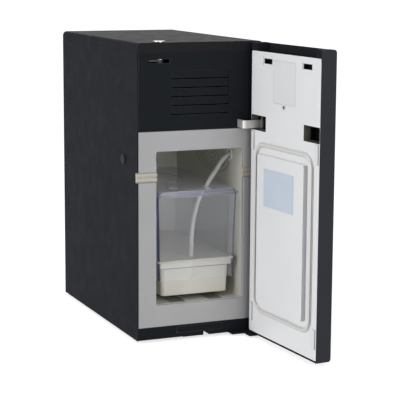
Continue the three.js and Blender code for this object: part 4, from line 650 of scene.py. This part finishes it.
def door_white():
    finish = Finish("door_white", (230, 231, 233), 0.4, specular=0.35)
    return finish.mottle(70, 0.012).uneven(25, 0.33, 0.46).grain(0.8, 0.012).material


def door_shade():
    """Painted shade on the sides of the door's insulating block that face the lock."""
    finish = Finish("door_shade", (176, 177, 178), 0.42, specular=0.3)
    return finish.mottle(70, 0.02).uneven(25, 0.36, 0.48).grain(0.8, 0.012).material


def strip_white():
    """Moulded strips over the magnets."""
    finish = Finish("strip_white", (224, 225, 227), 0.4, specular=0.4)
    return finish.mottle(30, 0.012).uneven(8, 0.34, 0.46).grain(0.6, 0.01).material


def strip_side_shade():
    """Painted shade: the grey sides of the magnet strips, the rounded edges of the hatch and the strike
    rims' slopes that face the lock.
    """
    finish = Finish("strip_side_shade", (122, 122, 124), 0.45, specular=0.3)
    return finish.mottle(10, 0.03).uneven(8, 0.34, 0.46).grain(0.6, 0.01).material


def gasket_grey():
    """Soft grey, with painted shade on the bulb's flanks that face the lock."""
    finish = Finish("gasket_grey", (216, 215, 214), 0.44, specular=0.45)
    facing = finish.along(finish.coordinates.outputs["Normal"], LOCK_WAY)
    finish.fade(facing, GASKET_SHADE_SHARES, finish.colour, linear(GASKET_SHADE))
    return finish.uneven(9, 0.38, 0.5).grain(0.5, 0.015).material


def base_white():
    finish = Finish("base_white", (209, 206, 195), 0.38, specular=0.4)
    finish.set("Subsurface Weight", 0.12)
    finish.set("Subsurface Radius", (0.004, 0.0035, 0.0025))
    return finish.mottle(40, 0.02).uneven(18, 0.3, 0.44).grain(0.9, 0.01).material


def base_shade():
    """The line of shade right under the base box's rim."""
    finish = Finish("base_shade", (112, 110, 101), 0.5, specular=0.1)
    return finish.mottle(40, 0.03).uneven(18, 0.44, 0.56).grain(0.9, 0.01).material


def clear_plastic():
    """Clear styrene with a faint haze: bluish where light runs along the wall."""
    finish = Finish("clear_plastic", (250, 251, 253), 0.03, specular=0.12)
    finish.set("Transmission Weight", 0.96)
    finish.set("IOR", 1.5)
    absorb = finish.add("ShaderNodeVolumeAbsorption", Color=(0.6, 0.63, 0.84, 1), Density=30.0)
    finish.link(absorb.outputs["Volume"], finish.tree.nodes["Material Output"], "Volume")
    finish.let_light_through()
    return finish.uneven(30, 0.02, 0.05).material


def clear_edge_painted_tint():
    """Painted tint on the rounded edges and front corners of the clear plastic: violet-blue coloured in,
    standing in for how light refracts there.
    """
    finish = Finish("clear_edge_painted_tint", (104, 109, 168), 0.16, specular=0.4)
    finish.set("Transmission Weight", 0.7)
    finish.set("IOR", 1.5)
    finish.let_light_through()
    return finish.uneven(10, 0.08, 0.16).material


def clear_floor():
    """The vessel's floor, whitened by the base box under it."""
    finish = Finish("clear_floor", (196, 194, 185), 0.4, specular=0.3)
    return finish.mottle(60, 0.02).uneven(40, 0.36, 0.44).material


def lid_clear():
    """The lid's softer plastic, a little milky."""
    finish = Finish("lid_clear", (240, 242, 246), 0.08, specular=0.3)
    finish.set("Transmission Weight", 0.66)
    finish.set("IOR", 1.5)
    finish.let_light_through()
    return finish.mottle(30, 0.02).uneven(20, 0.06, 0.11).grain(1.2, 0.004).material


def lid_side_painted_tint():
    """The lid's upright sides, with a painted tint: darker and bluer than the top, for how light passes
    them.
    """
    finish = Finish("lid_side_painted_tint", (196, 199, 214), 0.14, specular=0.3)
    finish.set("Transmission Weight", 0.8)
    finish.set("IOR", 1.4)
    finish.let_light_through()
    return finish.uneven(10, 0.1, 0.18).material


def lid_edge_painted_tint():
    """Painted tint on the lid's rounded edges and the line along the top of its sides: dark violet, and
    less glossy than the vessel's edges.
    """
    finish = Finish("lid_edge_painted_tint", (96, 100, 150), 0.25, specular=0.3)
    finish.set("Transmission Weight", 0.5)
    finish.set("IOR", 1.3)
    finish.let_light_through()
    return finish.uneven(10, 0.2, 0.3).material


def silicone():
    finish = Finish("silicone", (186, 181, 170), 0.36, specular=0.45)
    finish.set("Subsurface Weight", 0.3)
    finish.set("Subsurface Radius", (0.004, 0.0035, 0.003))
    return finish.mottle(8, 0.04).uneven(6, 0.3, 0.42).grain(0.6, 0.01).material


def hose_clear():
    """Milky silicone tube."""
    finish = Finish("hose_clear", (196, 197, 196), 0.4, specular=0.3)
    finish.set("Transmission Weight", 0.12)
    finish.set("IOR", 1.4)
    finish.set("Subsurface Weight", 0.2)
    finish.set("Subsurface Radius", (0.003, 0.003, 0.003))
    return finish.mottle(40, 0.03).uneven(40, 0.36, 0.44).material


def rubber_black():
    finish = Finish("rubber_black", (24, 24, 25), 0.7, specular=0.3)
    return finish.mottle(12, 0.15).uneven(8, 0.62, 0.78).grain(0.5, 0.05).material


def steel():
    """Satin sheet steel with a fine run of the rolls."""
    finish = Finish("steel", (196, 195, 192), 0.58, metallic=0.6)
    run = (0.06, 1, 1)
    return finish.mottle(3, 0.04, run).uneven(1.5, 0.44, 0.56, run).grain(0.5, 0.006, run).material


def dull_steel():
    """Phosphated steel of the lock's cam, its nut and the hinge pin."""
    finish = Finish("dull_steel", (98, 98, 99), 0.6, metallic=0.4, specular=0.25)
    return finish.mottle(3, 0.08).uneven(2, 0.54, 0.66).grain(0.5, 0.01).material


def chrome():
    finish = Finish("chrome", (216, 216, 220), 0.1, metallic=1.0)
    return finish.mottle(10, 0.03).uneven(6, 0.06, 0.14).material


def aluminium():
    finish = Finish("aluminium", (196, 198, 200), 0.4, metallic=1.0)
    run = (1, 0.05, 1)
    return finish.mottle(5, 0.06, run).uneven(2, 0.32, 0.5, run).grain(0.6, 0.01, run).material


def anodised_black():
    """Black anodised heat sink."""
    finish = Finish("anodised_black", (14, 14, 15), 0.5, specular=0.1)
    return finish.mottle(5, 0.1).uneven(3, 0.42, 0.58).grain(0.6, 0.01).material


def black_plastic():
    finish = Finish("black_plastic", (22, 23, 25), 0.42, specular=0.35)
    return finish.mottle(20, 0.1).uneven(9, 0.34, 0.5).grain(0.5, 0.015).material


def fan_black_pocket_shade():
    """Matt black of the fan behind the louvres; in the hinge and strike pockets the black is painted shade.
    """
    finish = Finish("fan_black_pocket_shade", (16, 16, 17), 0.6, specular=0.03)
    return finish.mottle(10, 0.1).uneven(6, 0.54, 0.68).grain(0.5, 0.015).material


def cup_grey():
    """Grey-brown side walls of the hinge pockets, with painted shade: black past the depth that light
    reaches.
    """
    finish = Finish("cup_grey", (104, 101, 92), 0.5, specular=0.1)
    mouth = (DOOR @ Vector((0, DOOR_FACE, 0))).dot(DOOR_AXIS)
    ends = (mouth - (CUP_LIT_DEPTH + CUP_FADE) * MM, mouth - CUP_LIT_DEPTH * MM)
    finish.fade(finish.along(finish.place, DOOR_AXIS), ends, linear(CUP_DARK), finish.colour)
    return finish.uneven(9, 0.44, 0.58).grain(0.5, 0.015).material


def lens_black():
    """Smoked window over the display."""
    finish = Finish("lens_black", (12, 13, 15), 0.1)
    finish.set("Coat Weight", 0.6)
    return finish.mottle(15, 0.1).uneven(10, 0.07, 0.13).material


def foam():
    finish = Finish("foam", (217, 207, 168), 0.9, specular=0.2)
    return finish.mottle(4, 0.12).grain(1.2, 0.35, detail=5.0).material


def foam_painted_shade():
    """Painted shade: the door's foam, coloured near black where it shows in the gap behind its plate."""
    finish = Finish("foam_painted_shade", (34, 34, 36), 0.9, specular=0.05)
    return finish.mottle(4, 0.12).grain(1.2, 0.35, detail=5.0).material


def board_green():
    finish = Finish("board_green", (32, 92, 58), 0.45)
    return finish.mottle(3, 0.2).uneven(4, 0.35, 0.55).grain(0.8, 0.05).material


def label_blue():
    finish = Finish("label_blue", (198, 210, 223), 0.42, specular=0.35)
    return finish.mottle(30, 0.015).uneven(15, 0.36, 0.48).material


def module_white():
    finish = Finish("module_white", (225, 224, 218), 0.55)
    return finish.mottle(3, 0.04).uneven(3, 0.5, 0.62).grain(0.4, 0.02).material


MATERIALS = {
    build.__name__: build()
    for build in (
        case_black,
        cover_black_painted_light,
        door_black,
        trough_painted_shade,
        case_edge_highlight,
        panel_black,
        panel_edge_highlight,
        frame_grey,
        liner_grey,
        liner_shade,
        door_white,
        door_shade,
        strip_white,
        strip_side_shade,
        gasket_grey,
        base_white,
        base_shade,
        clear_plastic,
        clear_edge_painted_tint,
        clear_floor,
        lid_clear,
        lid_side_painted_tint,
        lid_edge_painted_tint,
        silicone,
        hose_clear,
        rubber_black,
        steel,
        dull_steel,
        chrome,
        aluminium,
        anodised_black,
        black_plastic,
        fan_black_pocket_shade,
        cup_grey,
        lens_black,
        foam,
        foam_painted_shade,
        board_green,
        label_blue,
        module_white,
    )
}

# The look of the rounded edges where it differs
# Most edge looks are painted: highlight on the dark coats, shade on the white strips, tint on the clear
# plastic
EDGE_LOOKS = {
    "case_black": "case_edge_highlight",
    "cover_black_painted_light": "case_edge_highlight",
    "door_black": "case_edge_highlight",
    "panel_black": "panel_edge_highlight",
    "fan_black_pocket_shade": "cup_grey",
    "strip_white": "strip_side_shade",
    "clear_plastic": "clear_edge_painted_tint",
    "lid_clear": "lid_edge_painted_tint",
}

# Each CAD node that stays, by its look
KEPT = {
    "case_black": ["base_tray", "power_supply"],
    "rubber_black": ["front_foot_rail", "rear_foot_rail"],
    "steel": [
        "lower_hinge_pin",
        "bracket_screw_inner",
        "bracket_screw_outer",
        "divider_plate",
    ],
    "dull_steel": ["lock_cam_nut", "upper_hinge_pin", "hatch_screw"],
    "aluminium": ["cold_plate"],
    "anodised_black": ["hot_heat_sink"],
    "fan_black_pocket_shade": ["fan_frame", "fan_rotor"],
    "black_plastic": ["lower_hinge_bush"],
    "foam": ["foam_insulation"],
    # Painted shade on the door's foam where it shows behind its plate
    "foam_painted_shade": ["door_foam"],
    "board_green": ["display_board"],
    "module_white": ["thermoelectric_module"],
}

# Each CAD node that gets rounded edges, by its look and radius
SOFTENED = {
    "left_side_panel": ("case_black", 0.9),
    "right_side_panel": ("case_black", 0.9),
    "back_panel": ("case_black", 0.5),
    "front_frame": ("frame_grey", 0.8),
    "kick_plate": ("panel_black", 0.6),
    "kick_cover": ("panel_black", 0.5),
    "tube_insert_left": ("silicone", 0.7),
    "tube_insert_right": ("silicone", 0.7),
    "left_port_nut": ("black_plastic", 0.5),
    "left_port_plug": ("rubber_black", 0.5),
    "hose_fitting": ("module_white", 0.4),
    "fitting_nut": ("module_white", 0.5),
    "lower_hinge_bracket": ("case_black", 0.6),
    "lock_barrel": ("chrome", 0.3),
    "lock_plug": ("chrome", 0.2),
    "lock_cam": ("dull_steel", 0.4),
    "power_inlet": ("black_plastic", 0.5),
    "display_lens": ("lens_black", 0.4),
    # The hatch's rounded edges get the strips' painted shade
    "hatch_cover": ("strip_white", 0.5),
    "label_plate": ("label_blue", 0.2),
}

# The same, but the faces level with the door's inner face keep the look, and the rest get the edges' look
TWO_TONED = {
    # Painted shade: the pocket cups' black, and the fade to black on their walls
    "hinge_pocket_cup": ("fan_black_pocket_shade", 0.3),
    "spare_hinge_pocket_cup": ("fan_black_pocket_shade", 0.3),
    # Painted shade: the grey sides of the magnet strips
    "magnet_upper_hinge_side": ("strip_white", 0.3),
    "magnet_lower_hinge_side": ("strip_white", 0.3),
    "magnet_upper_lock_side": ("strip_white", 0.3),
    "magnet_lower_lock_side": ("strip_white", 0.3),
}


def dress_kept_nodes():
    for look, nodes in KEPT.items():
        for node in nodes:
            slots = NODES[node].data.materials
            slots.clear()
            slots.append(MATERIALS[look])


def soften_nodes():
    for node, (look, radius) in SOFTENED.items():
        soften(node, look, radius)
    for node, (look, radius) in TWO_TONED.items():
        soften(node, look, radius, DOOR_AXIS)


# Bands and patches that have another look than the rest of their piece
def split_at(mesh, heights):
    """Cuts the faces along level planes, so that a band of them can have its own look."""
    shape = bmesh.new()
    shape.from_mesh(mesh)
    for height in heights:
        parts = [*shape.verts, *shape.edges, *shape.faces]
        bmesh.ops.bisect_plane(shape, geom=parts, plane_co=place(0, 0, height), plane_no=(0, 0, 1))
    shape.to_mesh(mesh)
    shape.free()


def dress_faces(piece, look, wanted):
    """Gives another look to the faces that the test wants."""
    slots = piece.data.materials
    slots.append(MATERIALS[look])
    for face in piece.data.polygons:
        if wanted(face):
            face.material_index = len(slots) - 1


# Milk vessel: clear walls, front corners with a painted violet tint, and a floor that takes the white of
# the base box
def make_vessel():
    vessel = soften("milk_vessel", "clear_plastic", VESSEL_EDGE)
    split_at(vessel.data, VESSEL_FLOOR)
    low, high = (level(z) for z in VESSEL_FLOOR)
    foot = level(VESSEL_FOOT)
    least, most = VESSEL_TURN_SHARES
    corners = vessel.data.vertices
    middle = sum(corner.co.y for corner in corners) / len(corners)

    def in_front_corner(face):
        return least < abs(face.normal.x) < most and face.center.y < middle

    dress_faces(vessel, "clear_edge_painted_tint", in_front_corner)
    dress_faces(vessel, "clear_floor", lambda face: low < face.center.z < high)
    dress_faces(vessel, "clear_plastic", lambda face: face.center.z < foot)


# Base box: a line of shade under its rim
def make_base_box():
    base = soften("base_box", "base_white", BOX_EDGE)
    split_at(base.data, BOX_LINE)
    low, high = (level(z) for z in BOX_LINE)
    dress_faces(base, "base_shade", lambda face: low < face.center.z < high)


# Lid: painted tint on its upright sides, with a painted dark line along their top
def make_lid():
    lid = soften("vessel_lid", "lid_clear", LID_EDGE)
    corners = [corner.co for corner in lid.data.vertices]
    low = [min(corner[i] for corner in corners) for i in range(3)]
    high = [max(corner[i] for corner in corners) for i in range(3)]
    line = high[2] - LID_LINE * MM

    def on_top_line(face):
        spans = [min(face.center[i] - low[i], high[i] - face.center[i]) for i in range(2)]
        upright = abs(face.normal.z) < LID_LINE_SHARE
        return upright and face.center.z > line and min(spans) < LID_RIM * MM

    dress_faces(lid, "lid_side_painted_tint", lambda face: abs(face.normal.z) < LID_SIDE_SHARE)
    dress_faces(lid, "lid_edge_painted_tint", on_top_line)


# Upper hinge strap: satin, with painted shade on the eye round the pin, which takes the pin's darker,
# duller steel
def make_strap():
    strap = soften("upper_hinge_strap", "steel", STRAP_EDGE)
    axis = place(HINGE_X, HINGE_Y, 0).xy
    dress_faces(strap, "dull_steel", lambda face: (face.center.xy - axis).length < EYE_REACH * MM)


# Cavity liner: painted shade, its grooves and the pressed rings are coloured darker
def make_liner():
    liner = soften("cavity_liner", "liner_grey", LINER_EDGE)
    play = LEVEL_PLAY * MM
    rings = place(RINGED_WALL, RING_Y, RING_Z)
    floor = level(CAVITY_FLOOR)

    def in_shade(face):
        away = face.center - rings
        ringed = -RING_RISE * MM < away.x < -play and abs(away.y) < RING_REACH_Y * MM
        grooved = face.normal.z > FACING_SHARE and face.center.z < floor - play
        return grooved or (ringed and abs(away.z) < RING_REACH_Z * MM)

    dress_faces(liner, "liner_shade", in_shade)


# Top cover: painted light, the top is coloured lighter than its sides, which keep the case's coating
def make_top_cover():
    cover = soften("top_cover", "cover_black_painted_light", COVER_EDGE)
    foot = level(COVER_FOOT)

    def on_side(face):
        return abs(face.normal.x) > COVER_SIDE_SHARE or face.center.z < foot

    dress_faces(cover, "case_black", on_side)


# Door's sheet tray: painted shade, the finger trough and the rest that faces the cabinet are coloured
# darker than the outside
def raise_tray_top(shape):
    least = level(TRAY_TOP - TRAY_EDGE) - LEVEL_PLAY * MM
    for vert in shape.verts:
        if vert.co.z > least:
            vert.co.z += TRAY_RAISED * MM


def make_door_shell():
    shell = soften("door_shell", "door_black", DOOR_EDGE, reshape=raise_tray_top)
    closed = DOOR.inverted()
    turned = closed.to_3x3()

    def in_shade(face):
        spot = closed @ face.center
        normal = (turned @ face.normal).normalized()
        behind = spot.y > TROUGH_BACK - LEVEL_PLAY
        above = TROUGH_FLOOR - LEVEL_PLAY < spot.z < TRAY_TOP
        return normal.y > FACING_SHARE or (abs(spot.x) < TRAY_HALF and behind and above)

    dress_faces(shell, "trough_painted_shade", in_shade)


# The blocks that close the finger trough's two ends, coloured with the trough's painted shade
def make_trough_end(name, ends):
    top = TRAY_TOP + TRAY_RAISED
    back = TROUGH_BACK + TROUGH_PLAY
    floor = TROUGH_FLOOR + TROUGH_PLAY
    step = PLATE_TOP + TROUGH_PLAY
    profile = [
        (back, floor),
        (PLATE_REAR, floor),
        (PLATE_REAR, step),
        (DOOR_FACE, step),
        (DOOR_FACE, top),
        (back, top),
    ]
    rows = [[(x, y, z) for y, z in profile] for x in ends]
    shape = grid_shape(rows, DOOR, close_columns=True, cap_ends=True)
    round_edges(shape, TROUGH_END_EDGE)
    finished(shape, name, "trough_painted_shade", NODES["door_shell"]["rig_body"])


# Door liner: square corners, and painted shade on the sides of the insulating block that face the lock
def square_plate(shape):
    """Moves the plate's rounded corners out, and its lowest edge up."""
    closed = DOOR.inverted()
    middle = (PLATE_LOW + PLATE_TOP) / 2
    for vert in shape.verts:
        spot = closed @ vert.co
        across = abs(spot.x) - (PLATE_HALF - PLATE_ROUND)
        up = abs(spot.z - middle) - (PLATE_TOP - middle - PLATE_ROUND)
        if min(across, up) > 0:
            grow = (PLATE_ROUND / max(across, up) - 1) * PLATE_SQUARE_SHARE
            spot.x += math.copysign(across * grow, spot.x)
            spot.z += math.copysign(up * grow, spot.z - middle)
        below = PLATE_LOW + PLATE_ROUND - spot.z
        if below > 0:
            spot.z += LINER_RISE * below / PLATE_ROUND
        vert.co = DOOR @ spot


def make_door_liner():
    liner = soften("door_liner", "door_white", DOOR_LINER_EDGE, reshape=square_plate)
    dress_faces(liner, "door_shade", lambda face: face.normal.dot(LOCK_WAY) > FACING_SHARE)


# Upper front panel: a pierced plate, and a pressed hood over each louvre
def hood_stations(left, right):
    """Places along a hood, each with its share of the full swell."""
    steps = [i / HOOD_TAPER_STEPS for i in range(HOOD_TAPER_STEPS + 1)]
    stations = [(left + HOOD_TAPER * step, step * step * (3 - 2 * step)) for step in steps]
    return stations + [(left + right - x, swell) for x, swell in reversed(stations)]


def hood_curve(proud, low, rise):
    """A hood's section from its top down, as steps out and heights."""
    return [(proud * out, low + rise * up) for out, up in HOOD_PROFILE_SHARES]


def louvre_hood(index):
    low = LOUVRE_FIRST + index * LOUVRE_PITCH + LOUVRE_SLOT / 2 - HOOD_DROP
    top = low + HOOD_RISE
    rows = []
    for x, swell in hood_stations(LOUVRE_LEFT, LOUVRE_RIGHT):
        curve = [(x, -out, z) for out, z in hood_curve(HOOD_PROUD * swell, low, HOOD_RISE)]
        rows.append([(x, HOOD_ROOT, top), *curve, (x, HOOD_ROOT, low)])
    shape = grid_shape(rows, CABINET, close_columns=True, cap_ends=True)
    finished(shape, "louvre_hood_" + str(index + 1), "panel_black", "cabinet")


def make_front_panel():
    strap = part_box("upper_hinge_strap")
    strap_left = strap[0][0] / MM - STRAP_PLAY
    strap_low = strap[0][2] / MM - SKIRT_LIFT - STRAP_PLAY
    strap_high = strap[1][2] / MM - SKIRT_LIFT + STRAP_PLAY
    holes = [LOCK_SLOT, (strap_left, strap_left + STRAP_THICK + 2 * STRAP_PLAY, strap_low, strap_high)]
    for i in range(LOUVRE_COUNT):
        z = LOUVRE_FIRST + i * LOUVRE_PITCH
        holes.append((LOUVRE_LEFT, LOUVRE_RIGHT, z - LOUVRE_SLOT / 2, z + LOUVRE_SLOT / 2))
    ends = ((-PANEL_HALF, PANEL_HALF), (PANEL_BOTTOM, PANEL_TOP))
    groove_z = LOUVRE_FIRST + LOUVRE_COUNT * LOUVRE_PITCH
    groove = (LOUVRE_LEFT, LOUVRE_RIGHT, groove_z - GROOVE_HALF, groove_z + GROOVE_HALF)
    front = pierced_plate(*ends, [*holes, groove], 0, GROOVE_DEPTH, CABINET)
    round_edges(front, PANEL_EDGE)
    finished(front, "front_panel_face", "panel_black", "cabinet", ["upper_front_panel"])
    back = pierced_plate(*ends, holes, GROOVE_DEPTH, PANEL_DEPTH - GROOVE_DEPTH, CABINET)
    finished(back, "front_panel_back", "panel_black", "cabinet")
    for i in range(LOUVRE_COUNT):
        louvre_hood(i)


# Sheet hoods over the back panel's vents, open at the foot
def vent_hood(index):
    low = VENT_FIRST + index * VENT_PITCH - VENT_LAP
    rows = []
    for x, swell in hood_stations(-VENT_HALF, VENT_HALF):
        outer = hood_curve(VENT_PROUD * swell, low, VENT_HOOD_RISE)[:-1]
        inner = [(out - VENT_SHEET, z) for out, z in reversed(outer)]
        rows.append([(x, CABINET_DEPTH + out, z) for out, z in outer + inner])
    shape = grid_shape(rows, CABINET, close_columns=True, cap_ends=True)
    finished(shape, "vent_hood_" + str(index + 1), "case_black", "cabinet")


# Door gasket: a soft bulb between two lips, swept round the insulating block
def make_gasket():
    centres = [
        (GASKET_HALF - GASKET_CORNER, GASKET_TOP - GASKET_CORNER, 0),
        (GASKET_CORNER - GASKET_HALF, GASKET_TOP - GASKET_CORNER, 90),
        (GASKET_CORNER - GASKET_HALF, GASKET_BOTTOM + GASKET_CORNER, 180),
        (GASKET_HALF - GASKET_CORNER, GASKET_BOTTOM + GASKET_CORNER, 270),
    ]
    rows = []
    for x, z, first in centres:
        for i in range(GASKET_CORNER_STEPS + 1):
            turn = math.radians(first + 90 * i / GASKET_CORNER_STEPS)
            row = []
            for across, up in GASKET_PROFILE:
                reach = GASKET_CORNER - across
                y = DOOR_FACE + GASKET_STAND + up
                row.append((x + reach * math.cos(turn), y, z + reach * math.sin(turn)))
            rows.append(row)
    shape = grid_shape(rows, DOOR, close_rows=True, close_columns=True)
    finished(shape, "gasket_bulb", "gasket_grey", NODES["door_gasket"]["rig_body"], ["door_gasket"])


# Strike pockets: a black cup, painted shade, behind a white rim that slopes in
def make_strike_pocket(node, centre):
    def loop(grow, y):
        left, right = (centre - STRIKE_HALF - grow, centre + STRIKE_HALF + grow)
        low, high = (STRIKE_BOTTOM - grow, STRIKE_TOP + grow)
        return [(left, y, low), (right, y, low), (right, y, high), (left, y, high)]

    body = NODES[node]["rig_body"]
    lip = DOOR_FACE - RIM_SINK
    back = DOOR_FACE - STRIKE_DEPTH
    cup = [
        loop(STRIKE_WALL, back),
        loop(STRIKE_WALL, lip),
        loop(0, lip),
        loop(0, back + STRIKE_WALL),
    ]
    shape = grid_shape(cup, DOOR, close_columns=True, cap_ends=True)
    finished(shape, node + "_cup", "fan_black_pocket_shade", body, [node])
    rim = [
        loop(RIM_OUT, DOOR_FACE + RIM_PROUD),
        loop(0, lip + RIM_SHEET),
        loop(0, lip),
        loop(STRIKE_WALL, lip),
    ]
    shape = grid_shape(rim, DOOR, close_rows=True, close_columns=True)
    shape.normal_update()
    # Painted shade: the rim's slopes that face the lock get the grey side colour
    for face in shape.faces:
        face.material_index = int(face.normal.dot(LOCK_WAY) > RIM_FACING_SHARE)
    finished(shape, node + "_rim", "strip_white", body)


# Milk hose: a tube with its bore, from the fitting to the vessel's floor
def make_hose():
    line = catmull_rom(HOSE_ROUTE, HOSE_RINGS)
    rings = []
    side = Vector((0, 1, 0))
    for i, point in enumerate(line):
        along = (line[min(i + 1, len(line) - 1)] - line[max(i - 1, 0)]).normalized()
        side = (side - side.dot(along) * along).normalized()
        other = along.cross(side)
        rings.append((point, side.copy(), other))

    def ring(index, radius):
        point, side, other = rings[index]
        turns = [2 * math.pi * k / HOSE_SIDES for k in range(HOSE_SIDES)]
        return [point + radius * (math.cos(t) * side + math.sin(t) * other) for t in turns]

    outside = [ring(i, HOSE_DIAMETER / 2) for i in range(HOSE_RINGS)]
    inside = [ring(i, HOSE_BORE / 2) for i in reversed(range(HOSE_RINGS))]
    shape = grid_shape(outside + inside, CABINET, close_rows=True, close_columns=True)
    mesh = bpy.data.meshes.new("milk_hose_tube")
    shape.to_mesh(mesh)
    shape.free()
    shade(mesh)
    mesh.materials.append(MATERIALS["hose_clear"])
    hose = new_object("milk_hose_tube", mesh)
    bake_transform(hose)
    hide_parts("milk_hose")


# Stage and light
def seen_directly(tree):
    """1 for camera, glossy and transmission rays, 0 for the rest."""
    path = tree.nodes.new("ShaderNodeLightPath")
    total = path.outputs["Is Camera Ray"]
    for ray in ("Is Glossy Ray", "Is Transmission Ray"):
        either = tree.nodes.new("ShaderNodeMath")
        either.operation = "MAXIMUM"
        tree.links.new(total, either.inputs[0])
        tree.links.new(path.outputs[ray], either.inputs[1])
        total = either.outputs[0]
    return total


def make_world():
    world = bpy.data.worlds.new("studio")
    bpy.context.scene.world = world
    world.use_nodes = True
    tree = world.node_tree
    strength = tree.nodes.new("ShaderNodeMapRange")
    strength.inputs["To Min"].default_value = SKY
    strength.inputs["To Max"].default_value = 1.0
    tree.links.new(seen_directly(tree), strength.inputs["Value"])
    background = tree.nodes["Background"]
    background.inputs["Color"].default_value = WHITE
    tree.links.new(strength.outputs["Result"], background.inputs["Strength"])


def make_floor():
    mesh = bpy.data.meshes.new("floor")
    half = FLOOR_SIZE / 2
    corners = [(-half, -half, 0), (half, -half, 0), (half, half, 0), (-half, half, 0)]
    mesh.from_pydata(corners, [], [(0, 1, 2, 3)])
    floor = new_object("floor", mesh)
    material = bpy.data.materials.new("floor_white")
    material.use_nodes = True
    tree = material.node_tree
    shader = tree.nodes["Principled BSDF"]
    shader.inputs["Base Color"].default_value = (FLOOR_COLOUR, FLOOR_COLOUR, FLOOR_COLOUR, 1)
    shader.inputs["Roughness"].default_value = FLOOR_ROUGHNESS
    shader.inputs["Specular IOR Level"].default_value = 0.0
    shader.inputs["Emission Color"].default_value = WHITE
    spot = tree.nodes.new("ShaderNodeTexCoord")
    distance = tree.nodes.new("ShaderNodeVectorMath")
    distance.operation = "LENGTH"
    tree.links.new(spot.outputs["Object"], distance.inputs[0])
    fade = tree.nodes.new("ShaderNodeMapRange")
    fade.inputs["From Max"].default_value = GLOW_FAR_DISTANCE
    fade.inputs["To Min"].default_value = GLOW_NEAR
    fade.inputs["To Max"].default_value = GLOW_FAR
    tree.links.new(distance.outputs["Value"], fade.inputs["Value"])
    glow = tree.nodes.new("ShaderNodeMath")
    glow.operation = "MULTIPLY"
    tree.links.new(fade.outputs["Result"], glow.inputs[0])
    tree.links.new(seen_directly(tree), glow.inputs[1])
    tree.links.new(glow.outputs[0], shader.inputs["Emission Strength"])
    mesh.materials.append(material)


def make_lamps():
    target = Vector(LAMP_TARGET)
    for name, spot, size, power in LAMPS:
        data = bpy.data.lights.new(name, "AREA")
        data.shape = "SQUARE"
        data.size = size
        data.energy = power
        lamp = new_object(name, data)
        lamp.location = spot
        lamp.rotation_mode = "QUATERNION"
        lamp.rotation_quaternion = (target - Vector(spot)).to_track_quat("-Z", "Y")


make_camera()
make_hose()
dress_kept_nodes()
soften_nodes()
make_vessel()
make_base_box()
make_lid()
make_strap()
make_liner()
make_top_cover()
make_door_shell()
for trough_end, x_ends in TROUGH_ENDS.items():
    make_trough_end(trough_end, x_ends)
make_door_liner()
make_front_panel()
for vent in range(VENT_COUNT):
    vent_hood(vent)
make_gasket()
for pocket, middle in STRIKE_CENTRES.items():
    make_strike_pocket(pocket, middle)
make_world()
make_floor()
make_lamps()
bpy.context.scene.view_settings.view_transform = "Standard"
